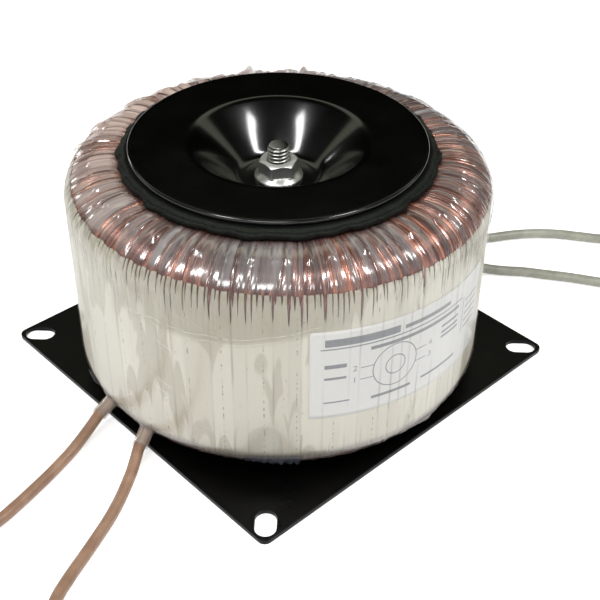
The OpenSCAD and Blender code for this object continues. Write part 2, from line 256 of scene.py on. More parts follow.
def between(p, q, steps):
    """Points strictly between two section points, closer together towards both ends."""
    t = (1 - np.cos(np.linspace(0, pi, steps + 2)[1:-1, None])) / 2
    return p + (q - p) * t


def section(outer, inner, low, high, base, shoulder, bore, parts):
    """Outline of the wrapped toroid as r, z, facing r, facing z, anticlockwise from the base's outer edge.

    base is the radius of the lower edge, shoulder and bore are the width and height of their roundings.
    parts counts the steps of each stretch: foot, wall, shoulder, top, rim, bore, lip and underside."""
    foot = arc((outer - base, low + base), (base, base), -90, 0, parts[0])
    crown = arc((outer - shoulder[0], high - shoulder[1]), shoulder, 0, 90, parts[2])
    rim = arc((inner + bore[0], high - bore[1]), bore, 90, 180, parts[4])
    lip = arc((inner + bore[0], low + bore[1]), bore, 180, 270, parts[6])
    return np.vstack([
        foot, between(foot[-1], crown[0], parts[1]), crown, between(crown[-1], rim[0], parts[3]),
        rim, between(rim[-1], lip[0], parts[5]), lip, between(lip[-1], foot[0], parts[7])])


def swept(outline, angles, lift):
    """Points of an outline at every angle, lifted along its facing; lift is angles by outline."""
    r, z, out, up = outline.T
    return polar(r + lift * out, angles if angles.ndim == 2 else angles[:, None], z + lift * up)


def fillet(a, b, c, r, steps=8):
    """The arc that rounds the corner b between a and c."""
    a, b, c = Vector(a), Vector(b), Vector(c)
    u, v = (a - b).normalized(), (c - b).normalized()
    half = u.angle(v) / 2
    middle = b + (u + v).normalized() * r / sin(half)
    start, end = b + u * r / tan(half) - middle, b + v * r / tan(half) - middle
    turn = atan2(start.cross(end), start.dot(end))
    return [tuple(middle + Matrix.Rotation(turn * i / steps, 2) @ start) for i in range(steps + 1)]


def rounded_outline(corners, radius_list):
    """A closed outline whose corners are rounded where their radius isn't 0."""
    points = []
    for i, r in enumerate(radius_list):
        if r:
            points += fillet(corners[i - 1], corners[i], corners[(i + 1) % len(corners)], r)
        else:
            points.append(corners[i])
    return points


def short_steps(outline, longest):
    """A closed outline with points added along its long straight runs, so that they shade flat."""
    points = []
    for p, q in zip(outline, outline[1:] + outline[:1]):
        p, q = Vector(p), Vector(q)
        parts = ceil((q - p).length / longest)
        points += [tuple(p.lerp(q, i / parts)) for i in range(parts)]
    return points


# Shader helpers

# Most of a noise lies between these values
NOISE_SPAN = (0.3, 0.7)
# Largest share of the light that a clear skin mirrors
GLAZE_MOST = 0.14
WHITE = (1, 1, 1, 1)


def linear(colour):
    """Colour as a picture shows it, 0 to 255, as the shader's linear colour."""
    parts = [(c / 255 / 12.92) if c <= 10.3 else ((c / 255 + 0.055) / 1.055) ** 2.4 for c in colour]
    return (*parts, 1)


class Nodes:
    """A node tree, put together node by node."""

    def __init__(self, tree):
        self.tree = tree

    def put(self, socket, value):
        """Links an output to a socket, or sets a constant there; a colour of 0 to 255 is made linear."""
        if isinstance(value, bpy.types.NodeSocket):
            self.tree.links.new(value, socket)
        elif isinstance(value, tuple) and len(value) == 3:
            socket.default_value = linear(value)
        else:
            socket.default_value = value

    def add(self, kind, inputs, out=0, **settings):
        """A new node with its settings and inputs; gives back one of its outputs, or all for None."""
        made = self.tree.nodes.new("ShaderNode" + kind)
        for key, value in settings.items():
            setattr(made, key, value)
        for key, value in inputs.items():
            self.put(made.inputs[key], value)
        return made.outputs if out is None else made.outputs[out]

    def math(self, operation, a, b=0.0, clamp=False):
        return self.add("Math", {0: a, 1: b}, operation=operation, use_clamp=clamp)

    def times(self, a, b, clamp=False):
        return self.math("MULTIPLY", a, b, clamp)

    def plus(self, a, b, clamp=False):
        return self.math("ADD", a, b, clamp)

    def minus(self, a, b):
        return self.math("SUBTRACT", a, b)

    def length(self, a, b):
        """Length of a line that runs a one way and b across it."""
        return self.math("SQRT", self.plus(self.times(a, a), self.times(b, b)))

    def split(self, vector):
        return self.add("SeparateXYZ", {0: vector}, out=None)

    def join(self, x, y=0.0, z=0.0):
        return self.add("CombineXYZ", {0: x, 1: y, 2: z})

    def fit(self, value, low, high, to_low=0.0, to_high=1.0):
        """Value taken from one range to another, held at its ends."""
        return self.add("MapRange", {0: value, 1: low, 2: high, 3: to_low, 4: to_high})

    def near(self, value, middle, full, none):
        """1 where a value lies within full of the middle, falling to 0 at none."""
        return self.fit(self.math("ABSOLUTE", self.minus(value, middle)), full, none, 1.0, 0.0)

    def mix(self, share, a, b):
        """Colour a where the share is 0, b where it is 1."""
        return self.add("Mix", {0: share, 6: a, 7: b}, out=2, data_type="RGBA")

    def stain(self, base, mask, strength, colour):
        """A colour laid over the base where the mask is, at a given strength."""
        return self.mix(self.times(mask, strength), base, colour)


class Shader(Nodes):
    """One procedural material."""

    def __init__(self, name, roughness=0.5, metallic=0.0, **constants):
        self.material = bpy.data.materials.new(name)
        self.material.use_nodes = True
        super().__init__(self.material.node_tree)
        self.surface = self.tree.nodes["Principled BSDF"]
        self.set("Roughness", roughness)
        self.set("Metallic", metallic)
        for key, value in constants.items():
            self.set(key.replace("_", " "), value)

    def set(self, key, value):
        self.put(self.surface.inputs[key], value)

    def paint(self, share, a, b):
        """Surface colour: a where the share is 0, b where it is 1."""
        self.set("Base Color", self.mix(share, a, b))

    def place(self, scale=(1, 1, 1)):
        """The piece's own coordinates in millimetres times scale."""
        point = self.add("TexCoord", {}, out="Object")
        return self.add("Mapping", {"Vector": point, "Scale": [s / MM for s in scale]})

    def round_place(self, along, up):
        """Coordinates round the stud's axis: along stretches them round it, up along Z, in cells per mm."""
        x, y, z = self.split(self.place())
        flat = self.length(x, y)
        reach = along * WRAP_R / MM
        return self.join(self.times(self.math("DIVIDE", x, flat), reach),
                         self.times(self.math("DIVIDE", y, flat), reach), self.times(z, up))

    def turn_place(self):
        """Millimetres round the wrap's outer wall, 0 at the front, and the height in millimetres."""
        x, y, z = self.split(self.place())
        return self.times(self.math("ARCTAN2", x, self.times(y, -1.0)), WRAP_R / MM), z

    def under_band(self):
        """Millimetres that a place lies under the band's upper edge."""
        x, y, z = self.split(self.place())
        fall = self.times(self.math("DIVIDE", x, self.length(x, y)), BAND_TILT / MM)
        return self.minus(self.minus(BAND_TOP / MM, fall), z)

    def noise(self, place, scale=1.0, detail=3.0, rough=0.5):
        """Noise of 0 to 1: cells per unit of place, octaves of detail and how strong they are."""
        return self.add("TexNoise", {"Vector": place, "Scale": scale, "Detail": detail, "Roughness": rough})

    def attribute(self, name):
        return self.add("Attribute", {}, out="Fac", attribute_name=name)

    def rough(self, noise, low, high):
        """Roughness that follows a noise between two values."""
        self.set("Roughness", self.fit(noise, *NOISE_SPAN, low, high))

    def bump(self, height, strength, distance):
        """Bends the surface by a height; distance is in millimetres."""
        bent = self.add("Bump", {"Height": height, "Strength": strength, "Distance": distance * MM})
        self.set("Normal", bent)
        return bent

    def glaze(self, ior, roughness, bent, layers=1.0):
        """Clear glossy skin over the surface, also where the surface itself is see-through."""
        share = self.math("MINIMUM", self.add("Fresnel", {"IOR": ior, "Normal": bent}), GLAZE_MOST)
        skin = self.add("BsdfAnisotropic", {"Color": WHITE, "Roughness": roughness, "Normal": bent})
        both = self.add("MixShader", {0: self.times(share, layers), 1: self.surface.outputs[0], 2: skin})
        self.put(self.tree.nodes["Material Output"].inputs["Surface"], both)


# Materials

def clouded(name, dark, light, grain, wound=None, rough=None, relief=None, **constants):
    """A plain material between two colours. One noise, of a scale and a detail, sets its colour.

    The noise may be wound round the stud, and may also set the roughness and the relief."""
    s = Shader(name, **constants)
    cloud = s.noise(s.round_place(*wound) if wound else s.place(), *grain)
    s.paint(cloud, dark, light)
    if rough:
        s.rough(cloud, *rough)
    if relief:
        s.bump(cloud, *relief)
    return s.material


def clear_plastic(name, dark, light, grain, alpha, rough, gloss, relief):
    """Thin, a little cloudy plastic under a glossy skin; alpha takes a range of the cloud to another."""
    s = Shader(name, Specular_IOR_Level=0.0)
    cloud = s.noise(s.place(), *grain)
    s.paint(cloud, dark, light)
    s.set("Alpha", s.fit(cloud, *alpha))
    s.rough(cloud, *rough)
    s.glaze(1.5, gloss, s.bump(cloud, *relief))
    return s.material


def black_paint(name, specks, rough, **shine):
    """Black paint with a faint orange-peel skin and a little dust."""
    s = Shader(name, **shine)
    place = s.place()
    dust = s.fit(s.noise(place, 0.9, 2.0), 1 - specks, 1.0)
    cloud = s.noise(place, 0.06)
    black = s.mix(cloud, (1, 1, 1), (5, 5, 4))
    s.paint(dust, black, (126, 126, 122))
    s.rough(cloud, rough - 0.04, rough + 0.04)
    s.bump(s.noise(place, 0.7, 1.0), 0.03, 0.4)
    return s.material


def zinc(name):
    """Satin zinc plate with fine marks, painted shade in the grooves of a thread, and duller where it is
    matt.
    """
    s = Shader(name, metallic=0.9)
    cloud = s.noise(s.place(), 0.5, 4.0)
    fine = s.noise(s.place((1, 1, 8)), 2.0, 2.0)
    plain = s.mix(cloud, (182, 184, 178), (220, 221, 214))
    # Painted shade: the thread's grooves are coloured near black
    s.paint(s.attribute("groove"), plain, (26, 26, 24))
    matt = s.times(s.attribute("matt"), 0.4)
    s.set("Roughness", s.plus(s.fit(fine, *NOISE_SPAN, 0.28, 0.4), matt))
    s.bump(fine, 0.1, 0.1)
    return s.material


def rubber(name):
    """Black rubber with a fine grain and level streaks, with painted sheen as lighter grey specks on the
    pad's upper face.
    """
    s = Shader(name, Specular_IOR_Level=0.15)
    grain = s.noise(s.place(), 2.2, 5.0, 0.65)
    streak = s.noise(s.place((0.25, 0.25, 2)), 1.0, 3.0)
    black = s.mix(s.times(grain, streak), (1, 2, 1), (28, 31, 26))
    sheen_specks = s.times(s.attribute("sheen_mask"), s.fit(grain, 0.35, 0.65))
    # Painted sheen: lighter grey specks on the pad's upper face
    s.paint(sheen_specks, black, (40, 43, 37))
    s.rough(grain, 0.42, 0.66)
    s.bump(grain, 0.7, 0.4)
    return s.material


def copper(name):
    """Enamelled copper strands, each of its own tone, with painted shadow in one dull tone where the band
    covers them.
    """
    s = Shader(name, metallic=0.6, Coat_Weight=0.6, Coat_Roughness=0.18)
    run = s.noise(s.round_place(1.2, 0.15), 1.0, 3.0)
    strand = s.mix(s.attribute("tone"), (92, 46, 38), (250, 166, 132))
    strand = s.mix(s.fit(run, 0.4, 0.75), strand, (124, 66, 53))
    # Painted shadow of the band: strands below its edge turn one dull dark tone
    s.paint(s.fit(s.under_band(), 0.2, 1.0), strand, (130, 80, 76))
    s.rough(run, 0.22, 0.34)
    return s.material


# Round end of a tape on the band: millimetres left of the front, height of its middle and its radius
TAPE_END = (1.2, 21.0, 5.6)
# Painted highlights along creases high on the front: height, middle and half length in millimetres
BAND_CREASE_HIGHLIGHTS = ((62.6, -18.0, 40.0), (60.4, -12.0, 18.0))


def band_sheet(name):
    """Cream band seen through the film, marked in millimetres round the wall and up it."""
    s = Shader(name, roughness=0.45)
    turn, height = s.turn_place()
    strip = s.attribute("strip")
    base = s.mix(strip, (202, 197, 180), (217, 213, 198))

    # Patches where film and band touch, set off and bowed strip by strip
    bowed = s.times(s.math("POWER", s.attribute("aside"), 2.0), 9.0)
    shifted = s.plus(s.plus(height, bowed), s.times(strip, 14.0))
    touch = s.join(turn, s.times(shifted, 0.5), s.times(strip, 4.0))
    rise = s.fit(height, 40.0, 80.0, -0.03, 0.1)
    patch = s.fit(s.plus(s.noise(touch, 0.06, 2.0, 0.45), rise), 0.53, 0.555)
    base = s.stain(base, patch, 0.65, (176, 170, 150))

    # Greyer strip above, whose lower edge climbs to the right
    slope = s.times(s.math("MAXIMUM", s.plus(turn, 9.0), 0.0), 0.2)
    over = s.minus(height, slope)
    upper = s.times(s.fit(over, 60.0, 63.0), s.near(turn, -10.0, 24.0, 44.0))
    base = s.stain(base, upper, 0.85, (168, 162, 142))

    # Round end of a tape
    left, middle, radius = TAPE_END
    above = s.math("MAXIMUM", s.minus(height, middle), 0.0)
    inside = s.fit(s.length(s.plus(turn, left), above), radius, radius + 0.5, 1.0, 0.0)
    base = s.stain(base, s.times(inside, s.fit(height, 9.0, 20.0)), 0.5, (178, 175, 161))

    # Painted highlights along creases, broken off in places, and scratches at the left
    wave = s.noise(s.join(s.times(turn, 0.06)), 1.0, 2.0)
    sheen_mask = s.fit(s.noise(s.join(s.times(turn, 0.35)), 1.0, 2.0), 0.35, 0.6)
    for level, middle, reach in BAND_CREASE_HIGHLIGHTS:
        line = s.plus(s.times(wave, 5.0), level - 1.5)
        along = s.near(turn, middle, reach - 8.0, reach)
        crease = s.times(s.near(s.minus(over, line), 0.0, 0.08, 0.24), along)
        # Painted highlight: a light line along each crease
        base = s.stain(base, s.times(crease, sheen_mask), 0.55, (246, 243, 226))
    slanted = s.join(s.plus(s.times(turn, 0.04), s.times(height, -0.02)),
                     s.plus(s.times(turn, 0.6), s.times(height, 1.4)))
    scratch = s.times(s.fit(s.noise(slanted, 1.0, 1.0), 0.68, 0.72), s.near(turn, -45.0, 20.0, 36.0))
    base = s.stain(base, scratch, 0.4, (242, 239, 226))

    # Dotted seams and specks
    seam = s.add("TexVoronoi", {"W": turn, "Scale": 0.09}, out="Distance",
                 voronoi_dimensions="1D", feature="DISTANCE_TO_EDGE")
    beat = s.noise(s.join(s.times(turn, 0.5), s.times(height, 0.9)), 1.0, 1.0)
    dot = s.times(s.fit(seam, 0.008, 0.022, 1.0, 0.0), s.fit(beat, 0.55, 0.6))
    base = s.stain(base, dot, 0.85, (104, 94, 88))
    specks = s.fit(s.noise(s.place(), 1.1, 1.0), 0.77, 0.81)
    s.paint(specks, base, (126, 116, 100))
    s.bump(s.noise(touch, 0.3, 2.0), 0.08, 0.3)
    return s.material


def clear_film(name):
    """Clear glossy film: nearly unseen on the wall, milky and creased on the shoulder."""
    s = Shader(name, Specular_IOR_Level=0.0)
    crease = s.attribute("crease")
    streak = s.noise(s.round_place(0.9, 0.04), 1.0, 4.0, 0.6)
    broad = s.noise(s.round_place(0.3, 0.03), 1.0, 2.0)
    under = s.under_band()
    shown = s.math("MAXIMUM", s.fit(under, -1.8, -0.4, 1.0, 0.06), s.fit(under, 50.0, 60.0))
    veil = s.times(s.attribute("haze"), s.fit(streak, 0.32, 0.68, 0.75, 1.15))
    milk = s.mix(s.attribute("rise"), (120, 106, 104), (150, 145, 144))
    milk = s.mix(s.fit(broad, 0.35, 0.65, 0.0, 0.4), milk, (186, 179, 176))
    milk = s.stain(milk, s.attribute("pale"), 0.8, (222, 194, 181))
    milk = s.stain(milk, s.attribute("calm"), 0.6, (112, 106, 104))
    # Crease colour: partly the film's own seams and folds, partly painted shade in grooves, over the band's
    # notches and at the foot
    s.paint(s.times(crease, 0.9, clamp=True), milk, (84, 52, 52))
    s.set("Alpha", s.plus(s.times(veil, shown), s.times(crease, 0.65), clamp=True))
    s.rough(streak, 0.3, 0.45)
    bent = s.bump(s.noise(s.round_place(1.4, 0.06), 1.0, 1.0), 0.06, 0.4)
    s.glaze(1.6, 0.18, bent, s.fit(under, -2.0, 2.0, 2.0, 1.0))
    return s.material


def lead_skin(name, dark, light):
    """Soft plastic sheath with a faint cloud and rubbed marks."""
    s = Shader(name, Coat_Weight=0.15, Coat_Roughness=0.25)
    cloud = s.noise(s.place(), 0.18, 4.0)
    rub = s.noise(s.place(), 1.4, 3.0)
    s.paint(s.fit(cloud, *NOISE_SPAN), dark, light)
    s.rough(rub, 0.34, 0.5)
    s.bump(rub, 0.1, 0.2)
    return s.material


# Leads

LEAD_D = 4.2 * MM
# Height of a lead's middle on the floor, and where it leaves the wrap
BENCH_Z = LEAD_D / 2 + 0.1 * MM
EXIT_H = 4 * MM
EXIT_Z = WRAP_LOW + EXIT_H
EXIT_R = WRAP_R - BASE_ROUND + sqrt(BASE_ROUND ** 2 - (BASE_ROUND - EXIT_H) ** 2)
SLEEVE_LEN = 7 * MM
SLEEVE_R = LEAD_D / 2 + 0.6 * MM
SLEEVE_BORE = LEAD_D / 2 + 0.1 * MM
SLEEVE_WRINKLE = 0.1 * MM
SLEEVE_FLARE = 0.2 * MM
STRIP_LEN = 8 * MM
CONDUCTOR_R = 1.2 * MM
# Turn from the front to the left in degrees, length in metres, and the route of the part's source:
# offsets from the exit in millimetres and the share of the exit's height
LEADS = {
    "primary_lead_1": (52, 0.167, [
        (0, 0, 1), (-3.7, -5.2, 0.7), (-6, -10, 0.5), (-8.5, -15.2, 0.31), (-11, -20.5, 0.18),
        (-14, -26, 0.07), (-17, -31.5, 0.01), (-20, -37, 0), (-24.5, -45, 0), (-29.5, -53, 0),
        (-36, -60.5, 0), (-44, -66, 0), (-53.5, -68.5, 0), (-63, -67.5, 0), (-71, -62, 0),
        (-76, -53.5, 0), (-78, -43, 0), (-78, -31, 0), (-77, -19, 0), (-76, -7, 0)]),
    "primary_lead_2": (36, 0.169, [
        (0, 0, 1), (-2, -7, 0.66), (-2.6, -11.8, 0.49), (-3.3, -16.7, 0.33), (-4.3, -21.6, 0.2),
        (-5.4, -26.6, 0.1), (-6.7, -31.7, 0.03), (-8.2, -37, 0), (-10, -42.5, 0), (-13.3, -52, 0),
        (-16.7, -61.5, 0), (-19.2, -71, 0), (-18.8, -81, 0), (-14.5, -90, 0), (-6.5, -96.5, 0),
        (3.5, -99.5, 0), (14, -100.5, 0), (25, -100, 0), (36, -98.5, 0), (47, -97, 0), (57, -96, 0)]),
    "secondary_lead_1": (217, 0.167, [
        (0, 0, 1), (7, 5, 1), (12.5, 8, 0.85), (18, 10.5, 0.45), (25, 12, 0.15), (33, 13.5, 0),
        (41, 15, 0), (49, 17, 0), (58, 19.5, 0), (68, 21, 0), (78, 21, 0), (88, 19.5, 0), (98, 18, 0),
        (108, 19, 0), (116, 25, 0), (120, 34, 0), (121, 45, 0), (121, 56, 0), (120, 68, 0)]),
    "secondary_lead_2": (234, 0.169, [
        (0, 0, 1), (8, 3.5, 1), (13.5, 5.2, 0.85), (19, 6.5, 0.45), (26, 7, 0.15), (34, 7, 0),
        (43, 6.5, 0), (52, 5, 0), (61, 3.5, 0), (70, 1.5, 0), (79, -1, 0), (88, -6, 0), (95, -14, 0),
        (99, -24, 0), (100, -35, 0), (100, -46, 0), (100, -57, 0), (100, -68, 0), (100, -79, 0)])}


def lead_route(name):
    """Points of a lead from its exit to its stripped end."""
    turn, _, offsets = LEADS[name]
    a = radians(-90 - turn)
    x, y = EXIT_R * cos(a), EXIT_R * sin(a)
    drop = EXIT_Z - BENCH_Z
    return [Vector((x + p * MM, y + q * MM, BENCH_Z + drop * share)) for p, q, share in offsets]


def add_lead(name, material):
    """A lead's sheath, a free cord, with its stripped end."""
    route = lead_route(name)
    curve = bpy.data.curves.new(name + "_sheath", "CURVE")
    curve.dimensions = "3D"
    curve.bevel_depth = LEAD_D / 2
    curve.bevel_resolution = 6
    curve.resolution_u = 8
    curve.use_fill_caps = True
    spline = curve.splines.new("BEZIER")
    spline.bezier_points.add(len(route) - 1)
    for point, place in zip(spline.bezier_points, route):
        point.co = place
        point.handle_left_type = point.handle_right_type = "AUTO"
    sheath = dress(bpy.data.objects.new(name + "_sheath", curve), material, [name])
    end = add_bare_end(name.replace("lead", "end"), route)


def add_bare_end(node, route):
    """Seven tinned strands with a slight twist."""
    wires, sides, rings, twist = 7, 8, 9, 1.2
    wire_r = CONDUCTOR_R / 3
    verts, faces = [], []
    for k in range(wires):
        off = 2 * wire_r if k else 0
        start = len(verts)
        for i in range(rings):
            a = TURN * k / (wires - 1) + twist * i / (rings - 1)
            x, y, z = off * cos(a), off * sin(a), STRIP_LEN * i / (rings - 1)
            verts += [(x + wire_r * cos(b), y + wire_r * sin(b), z) for b in around(sides)]
        faces += lattice(rings, sides, False, True, start)
        faces.append([start + j for j in range(sides)])
        faces.append([start + (rings - 1) * sides + j for j in reversed(range(sides))])
    place = along_axis(route[-1], route[-1] - route[-2])
    points = [place @ Vector(v) for v in verts]
    return add_piece(node + "_strands", points, faces, TINNED, [node])


def add_sleeve(node, route):
    """Clear sleeve at a lead's root, wrinkled and a little flared at its mouth."""
    rings, sides = 12, 40
    verts = []
    for outside in (True, False):
        for i in range(rings):
            t = i / (rings - 1)
            for b in around(sides):
                fold = SLEEVE_WRINKLE * sin(5 * b + 3 * t) * t + SLEEVE_FLARE * t ** 4
                r = SLEEVE_R + fold if outside else SLEEVE_BORE + 0.5 * max(fold, 0)
                z = SLEEVE_LEN * t * (1 + 0.03 * sin(2 * b + 1))
                verts.append(spot(r, b, z))
    wall = rings * sides
    faces = lattice(rings, sides, False, True)
    faces += [f[::-1] for f in lattice(rings, sides, False, True, wall)]
    for i, flip in ((0, True), (rings - 1, False)):
        for j in range(sides):
            a, b = i * sides + j, i * sides + (j + 1) % sides
            quad = [a, b, b + wall, a + wall]
            faces.append(quad[::-1] if flip else quad)
    place = along_axis(route[0], route[1] - route[0])
    add_piece(node + "_clear", [place @ Vector(v) for v in verts], faces, SLEEVE, [node])


# Strands of the outer winding

STRANDS = 640
STRAND_SIDES = 4
STRAND_DEPTH = 0.5 * MM
# How far a strand may lie deeper than its neighbours, in millimetres
STRAND_SINK = 0.35
STRAND_SLANT = 0.012
STRAND_SEED = 21


def jittered(count, spread, draw):
    """Angles round the circle, about even, each moved by up to spread of the step."""
    step = TURN / count
    return np.sort((np.arange(count) + draw.uniform(-spread, spread, count)) * step)


def spans(edges):
    """Angle that each cell of a ring of edges takes up."""
    return np.diff(np.append(edges, edges[0] + TURN))


def cell_of(angle, edges):
    """Which cell of a ring of edges each angle lies in, and how far across it, 0 to 1."""
    turned = (angle - edges[0]) % TURN
    ends = np.append(edges - edges[0], TURN)
    k = np.clip(np.searchsorted(ends, turned, side="right") - 1, 0, len(edges) - 1)
    return k, (turned - ends[k]) / (ends[k + 1] - ends[k])


def add_strands():
    """Strands side by side right round the toroid, uneven in height and tone and slightly slanted."""
    inner, outer = radii("secondary_winding")
    outline = section(outer, inner, *heights("secondary_winding"), base=9.1 * MM,
                      shoulder=(15.7 * MM, 11 * MM), bore=(7.3 * MM, 5.5 * MM),
                      parts=(3, 3, 12, 2, 2, 1, 2, 1))
    r, z = outline[:, 0], outline[:, 1]
    draw = np.random.default_rng(STRAND_SEED)
    edges = jittered(STRANDS, 0.2, draw)
    raised = draw.uniform(-STRAND_SINK, 0.0, STRANDS) * MM
    tone = draw.uniform(0, 1, STRANDS) ** 2
    side = np.arange(STRAND_SIDES)
    angles = (edges[:, None] + spans(edges)[:, None] * side / STRAND_SIDES).ravel()
    k, u = np.repeat(np.arange(STRANDS), STRAND_SIDES), np.tile(side / STRAND_SIDES, STRANDS)
    round_top = np.sqrt(unit(1 - (2 * u - 1) ** 2)) - 1
    lift = (STRAND_DEPTH * round_top + raised[k] * (u > 0))[:, None] * (r / outer)
    slant = STRAND_SLANT * ripple(angles[:, None], (3, 7, 13, 19), 3, z, (20, -30, 40, 15))
    points = swept(outline, angles[:, None] + slant, lift)
    piece = add_ring("winding_strands", points, COPPER, ["secondary_winding"])
    float_layer(piece, "tone", np.repeat(tone[k], len(outline)))


# Film

FILM_STEPS = 1800
# How far the film that shows lies under the CAD film's outside
FILM_SINK = 0.4 * MM
FINE_FOLDS = 250
FOLD_SEED = 11
# Middle width of the main folds and its swing in millimetres, and where they are widest
FOLD_WIDTH, FOLD_SWING, WIDEST_AT = 6.2, 2.0, radians(205)
# Where the film is ribbed most, where it is palest, and the even grey panels' middle and width in degrees
RIBBED_AT = -TURN / 8
PALE_AT = radians(145)
PANELS_AT, PANELS_WIDE = 262, 11
# Height from which the creases of the foot run up
FOOT_FROM = WRAP_LOW + 4 * MM
# How far folds and pleats run down the wall
FOLD_RUN, PLEAT_RUN = 25 * MM, 9 * MM
# Relief: slack film, crumpled film beside the pad, loose film at the back, grooves and their half width
SLACK, CRUMPLE, LOOSE, GROOVE, GROOVE_W = 0.1 * MM, 0.4 * MM, 0.7 * MM, 0.3 * MM, 0.5 * MM
# Climb of the shoulder in degrees from which the film is crumpled
CRUMPLED_FROM = 72
# Half widths of creases at folds, at the foot and in the comb under the shoulder
LINE_W, FOOT_W, COMB_W = 0.28 * MM, 0.24 * MM, 0.3 * MM


def uneven_edges(draw):
    """Angles of the film's main folds, which lie wider apart at the left than at the right."""
    ends = [0.0]
    while ends[-1] < TURN:
        middle = FOLD_WIDTH + FOLD_SWING * cos(ends[-1] - WIDEST_AT)
        ends.append(ends[-1] + draw.uniform(0.55, 1.45) * middle * MM / WRAP_R)
    return np.array(ends[:-1]) / ends[-1] * TURN


def calmness(angles):
    """1 in the middle of the even grey panels, 0 away from them."""
    return bell(np.degrees(angles) - PANELS_AT, PANELS_WIDE)


# Main folds, drawn in this order: edges in radians, lengths in metres, the rest as shares
fold_dice = np.random.default_rng(FOLD_SEED)
FOLD_EDGES = uneven_edges(fold_dice)
FOLDS = len(FOLD_EDGES)
FOLD_WIDTHS = spans(FOLD_EDGES) * WRAP_R
FOLD_HEIGHTS = fold_dice.uniform(0.2, 0.8, FOLDS) * MM
FOLD_SIDES = fold_dice.choice([-1, 1], FOLDS)
FOLD_HAZE = fold_dice.uniform(0.25, 0.8, FOLDS) * (0.85 - 0.28 * np.cos(FOLD_EDGES - RIBBED_AT))
FOLD_HAZE += 0.3 * calmness(FOLD_EDGES)
FOLD_GAPS = fold_dice.uniform(0.5, 2.2, FOLDS) * MM
FOLD_MAJOR = fold_dice.uniform(0, 1, FOLDS) < 0.4
FOLD_LINES = fold_dice.uniform(0.15, 0.8, FOLDS)
FOLD_TONES = fold_dice.uniform(0, 1, FOLDS)
# Fine folds: longer at both sides, higher and longer at the foot where the film is ribbed
FINE_EDGES = jittered(FINE_FOLDS, 0.3, fold_dice)
FINE_WIDTHS = spans(FINE_EDGES) * WRAP_R
FINE_HEIGHTS = fold_dice.uniform(0.05, 0.26, FINE_FOLDS) * MM
FINE_HEIGHTS *= 1 + unit(np.cos(FINE_EDGES - RIBBED_AT))
FINE_LENGTHS = (2.2 + 8 * fold_dice.uniform(0, 1, FINE_FOLDS) ** 1.6) * MM
FINE_LENGTHS *= 1 + 1.2 * np.abs(np.cos(FINE_EDGES))
FOOT_LENGTHS = (2 + 16 * fold_dice.uniform(0, 1, FINE_FOLDS) ** 2) * MM
FOOT_LENGTHS *= 0.65 + 0.35 * np.cos(FINE_EDGES - RIBBED_AT)
FINE_HAZE = fold_dice.uniform(0.2, 2.0, FINE_FOLDS)
# Lumps in the film: turn in degrees, height, width, tallness and rise in millimetres
FILM_BUMPS = [(-43.3, 10, 2.4, 2.4, 1.0), (-142, 9, 3.5, 3, 0.8), (-126, 10, 3.5, 4, 1.0),
              (102.5, WRAP_TOP / MM - 3, 1.5, 4, 2.0), (84.5, WRAP_TOP / MM - 3, 1.5, 4, 2.0)]
# Loose film ends: turn and width in degrees, height of the lower end over the pad and inset in millimetres
FILM_TAILS = [(-96.3, 3.3, 2.6, 3.8), (-92.6, 3.6, 1.8, 4.1), (-88.8, 3.5, 1.0, 4.4),
              (-85.1, 3.4, 1.2, 4.3), (-154, 6, 2, 4.5)]


